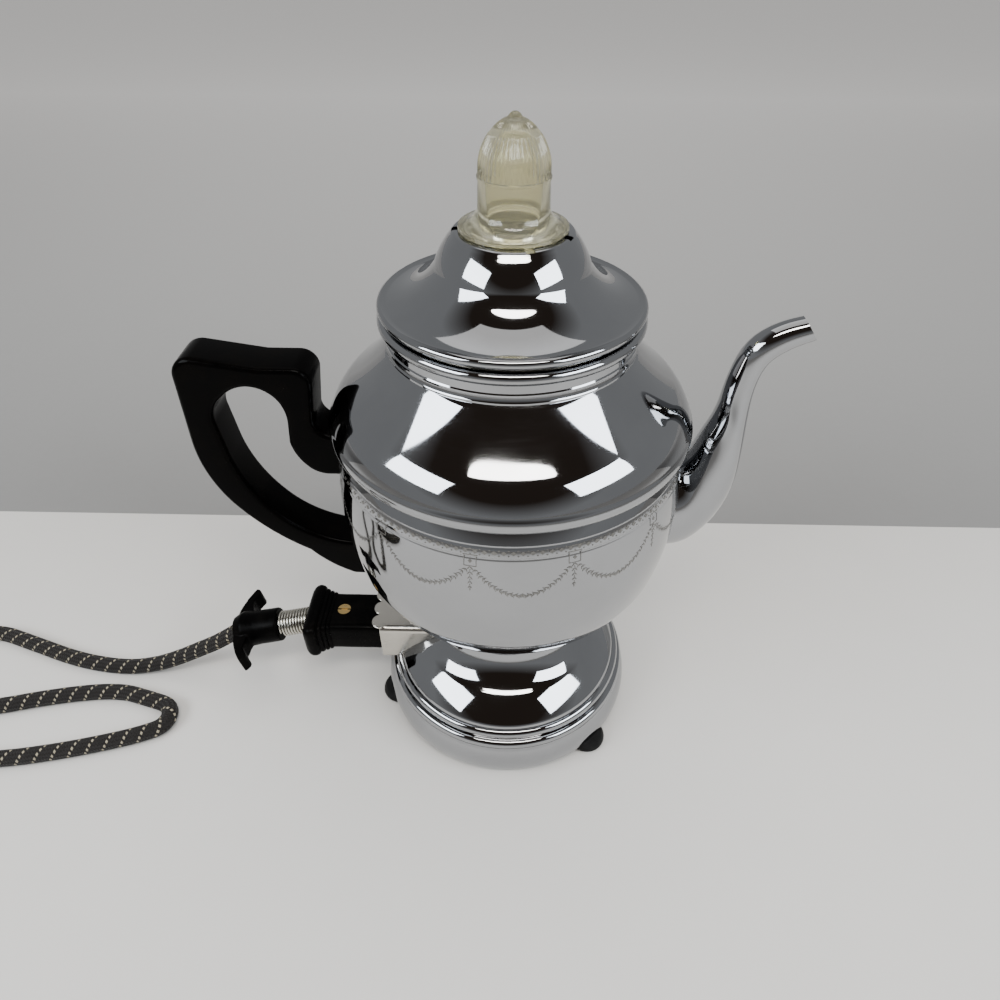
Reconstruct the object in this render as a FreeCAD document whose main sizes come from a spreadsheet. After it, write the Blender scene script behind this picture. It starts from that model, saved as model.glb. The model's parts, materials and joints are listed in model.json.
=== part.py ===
"""Electric percolator coffee pot: chromed pot on a heating pedestal, glass-topped lid, pump and
basket inside, and an appliance plug on a cloth-covered cord.  Millimetres, +Z up.  The spout points
along +X and the handle and the plug along -X.  The origin is the middle of the pot's own plan
(handle end to spout lip), at the plane that the feet stand on, so the pot's axis of revolution
stands a little to +X of it.  All sizes below are measured from the pot's axis and the floor."""
import FreeCAD, Part
import math
import os
import re

import Sketcher
from FreeCAD import Placement, Rotation, Vector

SIZES = [
    # pedestal and feet
    ("base_radius", 65.0, "widest radius of the pedestal band"),
    ("base_lift", 7.0, "height of the band's lower edge over the floor"),
    ("shoulder_of_base", 33.4, "height where the pedestal's ridges end and its flare begins"),
    ("sheet_wall", 1.0, "wall of the spun brass shells"),
    ("neck_radius", 33.0, "radius where the bowl stands on the pedestal"),
    ("floor_height", 58.0, "underside of the bowl's floor"),
    ("foot_circle", 60.5, "radius of the circle that the feet stand on"),
    ("foot_radius", 9.5, "widest radius of a foot"),
    ("foot_turn", -45.0, "azimuth of the first foot"),
    ("foot_screw", 1.6, "shank radius of a foot screw"),
    # bowl, shoulder and neck
    ("bowl_radius", 72.4, "widest radius of the bowl"),
    ("bowl_middle", 140.0, "height of the bowl's widest place"),
    ("bowl_low_radius", 50.6, "radius where the bowl's underside turns into its neck"),
    ("bowl_low_height", 84.6, "height of that turn"),
    ("crease_radius", 68.0, "radius of the crease between bowl and shoulder"),
    ("crease_height", 174.0, "height of the crease"),
    ("shoulder_radius", 72.9, "widest radius of the shoulder"),
    ("neck_bore", 45.4, "inner radius of the pot's neck"),
    ("rim_height", 224.6, "top of the pot's rolled rim"),
    # lid and glass
    ("lid_radius", 49.5, "radius of the lid's beaded brim"),
    ("lid_gap", 1.3, "gap between the pot's rim and the lid's bead"),
    ("lid_bead", 1.7, "radius of the lid's bead"),
    ("lid_top", 252.6, "height of the flat round the lid's opening"),
    ("lid_opening", 16.2, "radius of the lid's opening"),
    ("knob_radius", 12.0, "radius of the glass knob's barrel"),
    ("knob_flange", 19.1, "radius of the glass knob's flange"),
    ("knob_top", 288.4, "height of the glass knob's tip"),
    ("knob_wall", 2.6, "wall of the glass"),
    ("fit_gap", 0.5, "gap between pieces that lift apart"),
    ("rest_gap", 0.3, "gap between pieces that rest on each other and part"),
    # handle and spout
    ("handle_reach", 132.4, "distance from the axis to the handle's outer face"),
    ("handle_grip", 12.6, "depth of the handle's grip, outer face to inner face"),
    ("handle_width", 19.0, "width of the handle"),
    ("handle_top", 206.0, "height of the handle's highest corner"),
    ("spout_reach", 113.9, "distance from the axis to the spout's lower lip"),
    ("spout_wall", 1.0, "wall of the spout"),
    ("spout_root_width", 17.0, "half width of the spout where it meets the bowl"),
    ("spout_throat", 6.1, "outer radius of the spout's throat"),
    # heater
    ("well_radius", 17.0, "outer radius of the heating well"),
    ("well_top", 76.0, "height of the heating well's top"),
    ("core_gap", 0.4, "gap between the heating core and the well"),
    ("rod_radius", 3.0, "radius of the rod that ties core, pot and base together"),
    # pump and basket
    ("tube_radius", 3.5, "outer radius of the pump tube"),
    ("tube_bore", 2.6, "inner radius of the pump tube"),
    ("tube_top", 232.0, "height of the pump tube's top"),
    ("bell_radius", 23.0, "outer radius of the pump's bell"),
    ("basket_radius", 38.0, "outer radius of the coffee basket"),
    ("basket_bottom", 152.0, "underside of the coffee basket"),
    ("basket_height", 52.0, "height of the coffee basket"),
    ("thin_wall", 0.8, "wall of the aluminium pieces"),
    # inlet, plug and cord
    ("pin_height", 41.5, "height of the two terminal pins"),
    ("pin_radius", 2.4, "radius of a terminal pin"),
    ("pin_spacing", 17.5, "distance between the pins' axes"),
    ("pin_end", 80.0, "distance from the axis to the pins' tips"),
    ("plug_width", 25.0, "width of the appliance plug's straight part"),
    ("plug_thick", 18.4, "thickness of the appliance plug's straight part"),
    ("plug_flare", 2.3, "how far the plug's outer end stands proud, above and below"),
    ("plug_flare_side", 5.0, "how far the plug's outer end stands proud at each side"),
    ("plug_inner", 58.5, "distance from the axis to the plug's inner face"),
    ("plug_outer", 107.3, "distance from the axis to the plug's outer face"),
    ("block_width", 26.4, "width of the insulating block that holds the pins"),
    ("shroud_gap", 1.0, "gap between plug and shroud"),
    ("shroud_reach", 66.0, "distance from the axis to the shroud's straight edge"),
    ("spring_radius", 7.0, "outer radius of the cord guard's spring"),
    ("spring_wire", 1.3, "wire diameter of that spring"),
    ("spring_length", 15.4, "length of that spring outside the plug"),
    ("grip_droop", 9.0, "angle by which the cord guard sags"),
    ("grip_turn", 5.0, "angle by which the cord guard swings aside"),
    ("grip_sleeve", 12.5, "length of the finger grip's sleeve"),
    ("grip_bar", 12.0, "depth of the finger grip's cross bar"),
    ("grip_span", 49.0, "width of the finger grip's cross bar"),
    ("cord_diameter", 8.5, "diameter of the cloth-covered cord"),
    ("coil_middle", 96.0, "diameter of the stored coil at the middle of its turns"),
]
NAMES = [name for name, _, _ in SIZES]

doc = FreeCAD.newDocument("percolator")
sheet = doc.addObject("Spreadsheet::Sheet", "Sizes")
for row, (name, number, note) in enumerate(SIZES, 1):
    sheet.set(f"A{row}", note)
    sheet.set(f"B{row}", str(number))
    sheet.setAlias(f"B{row}", name)
doc.recompute()
subparts = []


def bound(text):
    """An expression in the sheet's own names, as FreeCAD wants it written."""
    return re.sub(r"[a-z][a-z_]+", lambda m: "Sizes." + m[0] if m[0] in NAMES else m[0], str(text))


def value(text):
    return float(sheet.evalExpression(bound(text)))


AXIS_X = "(handle_reach - spout_reach) / 2"


# ---------------------------------------------------------------- general makers

def place(piece, x=0, y=0, z=0, turn=None):
    """Stand a piece at x, y, z from the pot's axis and the floor, and keep it bound to the sheet."""
    piece.Placement = Placement(Vector(0, 0, 0), turn or Rotation())
    piece.setExpression(".Placement.Base.x", bound(f"{AXIS_X} + ({x})"))
    piece.setExpression(".Placement.Base.y", bound(y))
    piece.setExpression(".Placement.Base.z", bound(z))
    return piece


def keep(piece, label):
    """Name a piece as one of the pot's sub-parts."""
    piece.Label = label
    subparts.append(piece)
    return piece


def solid(kind, name, x=0, y=0, z=0, turn=None, **sizes):
    """A Part primitive with its sizes bound to the sheet."""
    piece = doc.addObject(f"Part::{kind}", name)
    for size, text in sizes.items():
        piece.setExpression(size, bound(text))
    return place(piece, x, y, z, turn)


def cut(name, base, tool):
    piece = doc.addObject("Part::Cut", name)
    piece.Base = base
    piece.Tool = tool
    return piece


def fuse(name, pieces):
    piece = doc.addObject("Part::MultiFuse", name)
    piece.Shapes = pieces
    return piece


def common(name, pieces):
    piece = doc.addObject("Part::MultiCommon", name)
    piece.Shapes = pieces
    return piece


def compound(name, pieces):
    piece = doc.addObject("Part::Compound", name)
    piece.Links = pieces
    return piece


def outline_sketch(body, name, plane, outline):
    """A closed sketch.  Each corner is (x, y), or (x, y, radius, side) where an arc leads to the
    next corner, side +1 for an arc that turns left and -1 for one that turns right."""
    sketch = body.newObject("Sketcher::SketchObject", name)
    plane_object = next(o for o in body.Origin.OriginFeatures if o.Role == plane)
    sketch.AttachmentSupport = (plane_object, [""])
    sketch.MapMode = "FlatFace"
    corners = [Vector(value(corner[0]), value(corner[1]), 0) for corner in outline]
    start_of, end_of = [], []
    for i, corner in enumerate(outline):
        start, end = corners[i], corners[(i + 1) % len(corners)]
        if len(corner) == 2:
            sketch.addGeometry(Part.LineSegment(start, end), False)
            forward = True
        else:
            radius, side = value(corner[2]), corner[3]
            chord = end - start
            rise = radius - math.sqrt(radius ** 2 - (chord.Length / 2) ** 2)
            outward = Vector(chord.y, -chord.x, 0) * (side * rise / chord.Length)
            arc = Part.Arc(start, (start + end) / 2 + outward, end).toShape().Curve
            first, last = arc.parameter(start), arc.parameter(end)
            if side < 0:
                first, last = last, first
            if arc.Axis.z < 0:
                arc = Part.Circle(arc.Center, Vector(0, 0, 1), arc.Radius)
                first, last = arc.parameter(start), arc.parameter(end)
                if side < 0:
                    first, last = last, first
            sketch.addGeometry(Part.ArcOfCircle(arc, first, last), False)
            forward = side > 0
        start_of.append(1 if forward else 2)
        end_of.append(2 if forward else 1)
    for i, corner in enumerate(outline):
        before = i - 1 if i else len(outline) - 1
        sketch.addConstraint(Sketcher.Constraint("Coincident", before, end_of[before], i, start_of[i]))
        for kind, text, axis in (("DistanceX", corner[0], -2), ("DistanceY", corner[1], -1)):
            if abs(value(text)) < 1e-9:
                sketch.addConstraint(Sketcher.Constraint("PointOnObject", i, start_of[i], axis))
                continue
            index = sketch.addConstraint(Sketcher.Constraint(kind, -1, 1, i, start_of[i], value(text)))
            sketch.setExpression(f"Constraints[{index}]", bound(text))
        if len(corner) == 4:
            index = sketch.addConstraint(Sketcher.Constraint("Radius", i, value(corner[2])))
            sketch.setExpression(f"Constraints[{index}]", bound(corner[2]))
    return sketch


def lathe(name, outline, **where):
    """A piece turned about its own Z axis from a closed outline of (radius, height) corners."""
    body = doc.addObject("PartDesign::Body", name)
    sketch = outline_sketch(body, name + "_outline", "XZ_Plane", outline)
    turned = body.newObject("PartDesign::Revolution", name + "_turned")
    turned.Profile = sketch
    turned.ReferenceAxis = (sketch, ["V_Axis"])
    turned.Angle = 360
    body.Tip = turned
    return place(body, **where)


def slab(name, plane, outline, thickness, **where):
    """A flat piece cut to an outline, its thickness shared equally by both sides of its plane."""
    body = doc.addObject("PartDesign::Body", name)
    sketch = outline_sketch(body, name + "_outline", plane, outline)
    pad = body.newObject("PartDesign::Pad", name + "_pad")
    pad.Profile = sketch
    pad.setExpression("Length", bound(thickness))
    pad.Midplane = True
    body.Tip = pad
    return place(body, **where)


ALONG_X = Rotation(Vector(0, 1, 0), 90)
ALONG_MINUS_X = Rotation(Vector(0, 1, 0), -90)


# ---------------------------------------------------------------- pedestal, plate and feet

def pedestal_outside():
    """Outer line of the pedestal, from its top down to its lower edge."""
    return [
        ("neck_radius", "floor_height", "24", 1),
        ("neck_radius + 12.5", "floor_height - 15", "60", -1),
        ("base_radius - 8", "shoulder_of_base"),
        ("base_radius - 7.4", "shoulder_of_base - 1.6", "2.8", -1),
        ("base_radius - 4.8", "shoulder_of_base - 5.6"),
        ("base_radius - 4.9", "shoulder_of_base - 7", "2.8", -1),
        ("base_radius - 2.4", "shoulder_of_base - 11"),
        ("base_radius - 2.4", "shoulder_of_base - 13", "18", -1),
    ]


def make_pedestal():
    outline = pedestal_outside() + [
        ("base_radius - 0.2", "base_lift"),
        ("base_radius - 0.2 - sheet_wall", "base_lift"),
        ("base_radius - 2.6 - sheet_wall", "shoulder_of_base - 12"),
        ("base_radius - 6.2 - sheet_wall", "shoulder_of_base - 5"),
        ("base_radius - 8.8 - sheet_wall", "shoulder_of_base - 0.4", "60", 1),
        ("neck_radius + 11.8 - sheet_wall", "floor_height - 15.6", "24.8", -1),
        ("neck_radius - sheet_wall", "floor_height"),
    ]
    shell = lathe("pedestal_shell", outline)
    window = solid("Box", "inlet_window", x="-base_radius", y="-block_width / 2", z="pin_height - 7.5",
                   Length="base_radius - 30", Width="block_width", Height="15")
    return keep(cut("pedestal_windowed", shell, window), "pedestal")


def make_bottom_plate():
    plate = solid("Cylinder", "bottom_disc", z="base_lift", Radius="base_radius - 1.4 - sheet_wall",
                  Height="sheet_wall")
    rod_hole = solid("Cylinder", "bottom_rod_hole", Radius="rod_radius + 0.1", Height="base_lift + 9")
    screw_holes = [foot_piece("Cylinder", f"plate_screw_hole_{n}", n, Radius="foot_screw",
                              Height="base_lift + 9") for n in range(3)]
    holes = fuse("bottom_plate_holes", [rod_hole] + screw_holes)
    keep(cut("bottom_plate_cut", plate, holes), "bottom_plate")


def foot_angle(n):
    return f"(foot_turn + {120 * n})"


def foot_centre(n):
    return f"foot_circle * cos({foot_angle(n)} * 1 deg)", f"foot_circle * sin({foot_angle(n)} * 1 deg)"


def foot_piece(kind, name, n, z=0, **sizes):
    x, y = foot_centre(n)
    return solid(kind, name, x=x, y=y, z=z, **sizes)


def make_feet():
    outline = [
        ("foot_screw + 2", "0"),
        ("foot_radius - 2.6", "0", "3.4", 1),
        ("foot_radius", "base_lift / 2", "5", 1),
        ("foot_radius - 1.6", "base_lift"),
        ("foot_screw", "base_lift"),
        ("foot_screw", "2.8"),
        ("foot_screw + 2", "2.8"),
    ]
    screws = []
    for n in range(3):
        x, y = foot_centre(n)
        keep(lathe(f"foot_body_{n}", outline, x=x, y=y), f"foot_{n + 1}")
        head = foot_piece("Cylinder", f"foot_head_{n}", n, z="1", Radius="foot_screw + 1.6", Height="1.8")
        shank = foot_piece("Cylinder", f"foot_shank_{n}", n, z="2.8", Radius="foot_screw",
                           Height="base_lift + 1")
        screws.append(fuse(f"foot_screw_{n}", [head, shank]))
    keep(compound("foot_screw_set", screws), "foot_screws")


# ---------------------------------------------------------------- bowl, shoulder and neck

def pot_outside():
    """Outer line of the pot, from the edge of its floor up to the outside of its rolled rim."""
    return [
        ("neck_radius", "floor_height", "75", -1),
        ("bowl_low_radius", "bowl_low_height", "75", 1),
        ("bowl_radius - 2.6", "bowl_middle - 26", "125", 1),
        ("crease_radius + 0.8", "crease_height - 2.6"),
        ("crease_radius", "crease_height", "4", -1),
        ("shoulder_radius - 1.3", "crease_height + 3.2", "4.6", 1),
        ("shoulder_radius - 1", "crease_height + 9.5", "26", 1),
        ("shoulder_radius - 9", "crease_height + 21", "120", -1),
        ("neck_bore + 2.4", "rim_height - 13.6"),
        ("neck_bore + 1.6", "rim_height - 12.8", "0.9", 1),
        ("neck_bore + 1.6", "rim_height - 11.2"),
        ("neck_bore + 1.4", "rim_height - 9.8", "0.9", 1),
        ("neck_bore + 1.4", "rim_height - 8.2"),
        ("neck_bore + 1.2", "rim_height - 5.4"),
    ]


def make_pot():
    outline = [("well_radius + 0.1", "floor_height")] + pot_outside() + [
        ("lid_radius - 1.8", "rim_height - 4.6", "2.35", 1),
        ("lid_radius - 1.8", "rim_height"),
        ("neck_bore", "rim_height"),
        ("neck_bore", "rim_height - 13.2", "121", 1),
        ("shoulder_radius - 9 - sheet_wall", "crease_height + 20.4", "25", -1),
        ("shoulder_radius - 1 - sheet_wall", "crease_height + 9", "4", -1),
        ("shoulder_radius - 1.9 - sheet_wall", "crease_height + 4"),
        ("crease_radius - sheet_wall", "crease_height"),
        ("crease_radius + 0.6 - sheet_wall", "crease_height - 3", "124", -1),
        ("bowl_radius - 2.6 - sheet_wall", "bowl_middle - 26", "74", -1),
        ("bowl_low_radius - sheet_wall", "bowl_low_height + 0.7", "76", 1),
        ("neck_radius - 0.6 - sheet_wall", "floor_height + sheet_wall"),
        ("well_radius + 0.1", "floor_height + sheet_wall"),
    ]
    shell = lathe("pot_shell", outline)
    strainer = []
    for row in range(5):
        for column in range(3 + row % 2):
            across = 5.5 * (column - (2 + row % 2) / 2)
            strainer.append(solid("Cylinder", f"strainer_hole_{row}_{column}", x="bowl_radius - 16",
                                  y=across, z=120 + 6 * row, turn=ALONG_X, Radius="1.5", Height="20"))
    screw_holes = [solid("Cylinder", f"shell_screw_hole_{n}", x=f"-({start}) + 3", z=height,
                         turn=ALONG_MINUS_X, Radius="2.1", Height="20")
                   for n, (start, height) in enumerate(handle_screw_places())]
    keep(cut("pot_drilled", shell, fuse("shell_holes", strainer + screw_holes)), "body_shell")


def make_pot_envelope(name):
    """The pot as if it were solid, which trims what is fixed to its wall."""
    outline = pot_outside() + [("0", "rim_height - 5.4"), ("0", "floor_height")]
    return lathe(name, outline)


# ---------------------------------------------------------------- heater and inlet

def make_heater():
    well = [
        ("well_radius - sheet_wall", "floor_height - 3"),
        ("well_radius", "floor_height - 3"),
        ("well_radius", "floor_height + sheet_wall"),
        ("well_radius + 6", "floor_height + sheet_wall"),
        ("well_radius + 6", "floor_height + 2 * sheet_wall"),
        ("well_radius", "floor_height + 2 * sheet_wall"),
        ("well_radius", "well_top - 2", "2", 1),
        ("well_radius - 2", "well_top"),
        ("0", "well_top"),
        ("0", "well_top - 1.2"),
        ("well_radius - sheet_wall", "well_top - 1.2"),
    ]
    keep(lathe("well_turned", well), "heater_well")
    core = solid("Cylinder", "core_block", z="floor_height - 8",
                 Radius="well_radius - sheet_wall - core_gap",
                 Height="well_top - 1.2 - core_gap - floor_height + 8")
    rod_socket = solid("Cylinder", "core_rod_socket", z="floor_height - 9", Radius="rod_radius + 0.05",
                       Height="13")
    keep(cut("core_bored", core, rod_socket), "heating_core")
    plate = solid("Cylinder", "clamp_disc", z="floor_height - 10", Radius="neck_radius - 4", Height="2")
    plate_hole = solid("Cylinder", "clamp_hole", z="floor_height - 11", Radius="rod_radius + 0.1",
                       Height="4")
    keep(cut("clamp_cut", plate, plate_hole), "clamp_plate")
    keep(solid("Cylinder", "tie_rod_bar", z="2.6", Radius="rod_radius", Height="floor_height + 1"),
         "tie_rod")
    nut = solid("Prism", "base_nut_hexagon", z="3.4", Circumradius="rod_radius + 3.2",
                Height="base_lift - 3.4")
    nut_hole = solid("Cylinder", "base_nut_bore", Radius="rod_radius", Height="base_lift + 1")
    keep(cut("base_nut_bored", nut, nut_hole), "base_nut")


def pin_places():
    return ("pin_spacing / 2", "-pin_spacing / 2")


def make_inlet():
    block = solid("Box", "pin_block_box", x="-56", y="-block_width / 2", z="pin_height - 7.5",
                  Length="18", Width="block_width", Height="15")
    bores = [solid("Cylinder", f"block_bore_{n}", x="-36", y=y, z="pin_height", turn=ALONG_MINUS_X,
                   Radius="pin_radius", Height="22") for n, y in enumerate(pin_places())]
    keep(cut("pin_block_bored", block, fuse("block_bores", bores)), "pin_block")
    pins = [solid("Cylinder", f"pin_{n}", x="-34", y=y, z="pin_height", turn=ALONG_MINUS_X,
                  Radius="pin_radius", Height="pin_end - 34") for n, y in enumerate(pin_places())]
    keep(compound("pin_pair", pins), "terminal_pins")


def make_shroud():
    """Sheet guard over the pins: a roof with a scalloped edge and two sides, trimmed to the pedestal."""
    half = "(plug_width / 2 + shroud_gap)"
    roof = "(pin_height + plug_thick / 2 + shroud_gap)"
    outer = doc.addObject("PartDesign::Body", "shroud_outer")
    sketch = outline_sketch(outer, "shroud_outline", "YZ_Plane", [
        (f"{half} + sheet_wall", "pin_height - 11"),
        (f"{half} + sheet_wall", f"{roof} + sheet_wall - 3", "3", 1),
        (f"{half} + sheet_wall - 3", f"{roof} + sheet_wall"),
        (f"-{half} - sheet_wall + 3", f"{roof} + sheet_wall", "3", 1),
        (f"-{half} - sheet_wall", f"{roof} + sheet_wall - 3"),
        (f"-{half} - sheet_wall", "pin_height - 11"),
        (f"-{half}", "pin_height - 11"),
        (f"-{half}", f"{roof} - 2", "2", -1),
        (f"-{half} + 2", roof),
        (f"{half} - 2", roof, "2", -1),
        (half, f"{roof} - 2"),
        (half, "pin_height - 11"),
    ])
    pad = outer.newObject("PartDesign::Pad", "shroud_pad")
    pad.Profile = sketch
    pad.setExpression("Length", bound("shroud_reach - 34"))
    outer.Tip = pad
    place(outer, x="-shroud_reach")
    lobes = [solid("Cylinder", f"shroud_lobe_{n}", x="-shroud_reach", y=f"{9 * (n - 1)}", z=roof,
                   Radius="4.5", Height="sheet_wall") for n in range(3)]
    clear = lathe("pedestal_envelope", pedestal_outside() + [
        ("base_radius - 0.2", "base_lift"), ("0", "base_lift"), ("0", "floor_height")])
    keep(cut("shroud_trimmed", fuse("shroud_lobed", [outer] + lobes), clear), "shroud")


# ---------------------------------------------------------------- handle and spout

def handle_screw_places():
    """Where the two handle screws start inside the pot: distance from the axis, and height."""
    return [("bowl_radius - 3.4", "161"), ("bowl_radius - 13.2", "101")]


def handle_outline():
    """Side view of the handle: a grip and a finger loop on an upper arm and a lower leg."""
    outer = "-handle_reach"
    inner = "-handle_reach + handle_grip"
    return [
        ("-77.2", "handle_top - 11", "7", 1),
        ("-84", "handle_top - 4"),
        ("-97", "handle_top - 4"),
        (f"{outer} + 10.5", "handle_top", "9", 1),
        (f"{outer} + 1.4", "handle_top - 8"),
        (f"{outer} + 0.1", "168", "61", 1),
        (f"{outer} + 8.4", "134", "91", 1),
        ("-93.6", "104.2", "51", 1),
        ("-74.3", "88.8"),
        ("-50", "88"),
        ("-50", "110.3"),
        ("-74", "110.3", "46", -1),
        ("-103.3", "126.4", "63", -1),
        (f"{inner} + 1.9", "158"),
        (f"{inner} - 0.1", "176", "15", -1),
        (f"{inner} + 6", "188.5", "15", -1),
        ("-103", "193.3", "13", -1),
        ("-91.8", "186", "20", -1),
        ("-90.3", "177"),
        ("-91.4", "167", "22", 1),
        ("-84.9", "153.4", "12", 1),
        ("-77", "150.3"),
        ("-50", "150.3"),
        ("-50", "171.3"),
        ("-74.5", "171.3", "7", -1),
        ("-79.5", "178"),
    ]


def make_handle():
    """Slab handle, both of its ends shaped to the bowl, and its two screws."""
    body = slab("handle_slab", "XZ_Plane", handle_outline(), "handle_width")
    drills = [solid("Cylinder", f"handle_drill_{n}", x=f"-({start})", z=height, turn=ALONG_MINUS_X,
                    Radius="2", Height="20") for n, (start, height) in enumerate(handle_screw_places())]
    tools = fuse("handle_tools", [make_pot_envelope("pot_envelope_at_handle")] + drills)
    keep(cut("handle_fitted", body, tools), "handle")
    screws = []
    for n, (start, height) in enumerate(handle_screw_places()):
        head = solid("Cylinder", f"handle_head_{n}", x=f"-({start}) + 2.4", z=height,
                     turn=ALONG_MINUS_X, Radius="4", Height="2.4")
        shank = solid("Cylinder", f"handle_shank_{n}", x=f"-({start})", z=height, turn=ALONG_MINUS_X,
                      Radius="2", Height="20")
        screws.append(fuse(f"handle_screw_{n}", [head, shank]))
    keep(compound("handle_screw_pair", screws), "handle_screws")


def spout_stations(overrun):
    """Oval sections of the spout from root to mouth: centre x, centre z, half height, half width and
    the tilt of the section's long axis from the horizontal.  Both ends can run past by overrun."""
    return [
        (f"bowl_radius - 8 - {overrun}", "129.5", "20.5", "spout_root_width", 90),
        ("bowl_radius + 6.6", "131.6", "21.6", "spout_root_width - 1.4", 97),
        ("spout_reach - 27.9", "144.3", "23.4", "spout_root_width - 3.4", 107),
        ("spout_reach - 23.6", "157.6", "18.2", "spout_root_width - 5.6", 116),
        ("spout_reach - 22.8", "176.4", "12.4", "spout_throat + 2.6", 123),
        ("spout_reach - 23.5", "185.2", "spout_throat + 1.9", "spout_throat + 0.8", 140),
        ("spout_reach - 23.6", "192", "spout_throat + 0.2", "spout_throat", 158),
        ("spout_reach - 21.8", "203.4", "spout_throat", "spout_throat - 0.2", 150),
        ("spout_reach - 18.2", "210", "spout_throat + 0.2", "spout_throat - 0.2", 127),
        ("spout_reach - 10.4", "214.9", "spout_throat - 0.3", "spout_throat - 0.6", 112),
        (f"spout_reach - 3.05 + 0.81 * {overrun}", f"217.4 + 0.59 * {overrun}", "spout_throat - 0.9",
         "spout_throat - 1", 126.3),
    ]


def spout_loft(name, thinner, overrun):
    ovals = []
    for n, (x, z, high, wide, tilt) in enumerate(spout_stations(overrun)):
        ovals.append(solid("Ellipse", f"{name}_oval_{n}", x=x, z=z,
                           turn=Rotation(Vector(0, 1, 0), -tilt),
                           MajorRadius=f"{high} - {thinner}", MinorRadius=f"{wide} - {thinner}"))
    spans = []
    for n, pair in enumerate(zip(ovals, ovals[1:])):
        loft = doc.addObject("Part::Loft", f"{name}_span_{n}")
        loft.Sections = list(pair)
        loft.Solid = True
        loft.Ruled = True
        spans.append(loft)
    return fuse(name, spans)


def make_spout():
    tools = fuse("spout_tools", [spout_loft("spout_bore", "spout_wall", 2),
                                 make_pot_envelope("pot_envelope_at_spout")])
    keep(cut("spout_fitted", spout_loft("spout_outer", 0, 0), tools), "spout")


# ---------------------------------------------------------------- lid and glass knob

NOTCH_ANGLES = (180, -22, -74)
LOCK_TURN = 25


def make_lid():
    brim = "(rim_height + lid_gap)"
    outline = [
        ("neck_bore + 0.4", brim),
        ("lid_radius - lid_bead", brim, "lid_bead + 0.05", 1),
        ("lid_radius - lid_bead", f"{brim} + 2 * lid_bead"),
        ("lid_radius - 3.4", f"{brim} + 2 * lid_bead - 0.6", "26", -1),
        ("lid_opening + 11.6", "lid_top - 11.6", "30", 1),
        ("lid_opening + 5.4", "lid_top - 1", "1.6", 1),
        ("lid_opening + 3.8", "lid_top"),
        ("lid_opening", "lid_top"),
        ("lid_opening", "lid_top - thin_wall"),
        ("lid_opening + 3.8", "lid_top - thin_wall"),
        ("lid_opening + 10.6", "lid_top - 11.8", "25", 1),
        ("lid_radius - 5", f"{brim} + 1.6"),
        ("neck_bore + 0.4", f"{brim} + 1.2"),
    ]
    shell = lathe("lid_turned", outline)
    notches = [solid("Box", f"lid_notch_{n}", z="lid_top - 3", turn=Rotation(Vector(0, 0, 1), angle),
                     Length="lid_opening + 5", Width="3.2", Height="5")
               for n, angle in enumerate(NOTCH_ANGLES)]
    keep(cut("lid_notched", shell, fuse("lid_notches", notches)), "lid_shell")
    collar = [
        ("neck_bore - fit_gap - thin_wall", "rim_height - 8"),
        ("neck_bore - fit_gap", "rim_height - 8"),
        ("neck_bore - fit_gap", brim),
        ("neck_bore + 0.4", brim),
        ("neck_bore + 0.4", f"{brim} + 1.2"),
        ("neck_bore - fit_gap - thin_wall", f"{brim} + 1.2"),
    ]
    keep(lathe("lid_collar_turned", collar), "lid_collar")


def make_knob():
    seat = "(lid_top + rest_gap)"
    bore = "(knob_radius - knob_wall)"
    outline = [
        (bore, "lid_top - thin_wall - rest_gap - 1.6"),
        ("lid_opening - fit_gap", "lid_top - thin_wall - rest_gap - 1.6"),
        ("lid_opening - fit_gap", seat),
        ("knob_flange - 0.4", seat),
        ("knob_flange", f"{seat} + 0.6"),
        ("knob_flange - 0.2", f"{seat} + 1.4", "7.5", -1),
        ("knob_radius + 0.3", f"{seat} + 6.6"),
        ("knob_radius", "knob_top - 16.4", "12.5", 1),
        ("5.2", "knob_top - 2", "7.5", 1),
        ("1", "knob_top"),
        ("0", "knob_top"),
        ("0", "knob_top - 4.6"),
        ("1", "knob_top - 4.6", "12", -1),
        (bore, "knob_top - 15"),
    ]
    glass = lathe("knob_turned", outline)
    lugs = [solid("Box", f"knob_lug_{n}", z="lid_top - thin_wall - rest_gap - 1.6",
                  turn=Rotation(Vector(0, 0, 1), angle + LOCK_TURN),
                  Length="lid_opening + 2.2", Width="2.4", Height="1.6")
            for n, angle in enumerate(NOTCH_ANGLES)]
    bore_tool = solid("Cylinder", "knob_lug_trim", z="lid_top - 5", Radius="knob_radius - 1",
                      Height="8")
    trimmed = cut("knob_lugs", fuse("knob_lug_bars", lugs), bore_tool)
    keep(fuse("knob_whole", [glass, trimmed]), "glass_knob")


# ---------------------------------------------------------------- pump and basket

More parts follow.
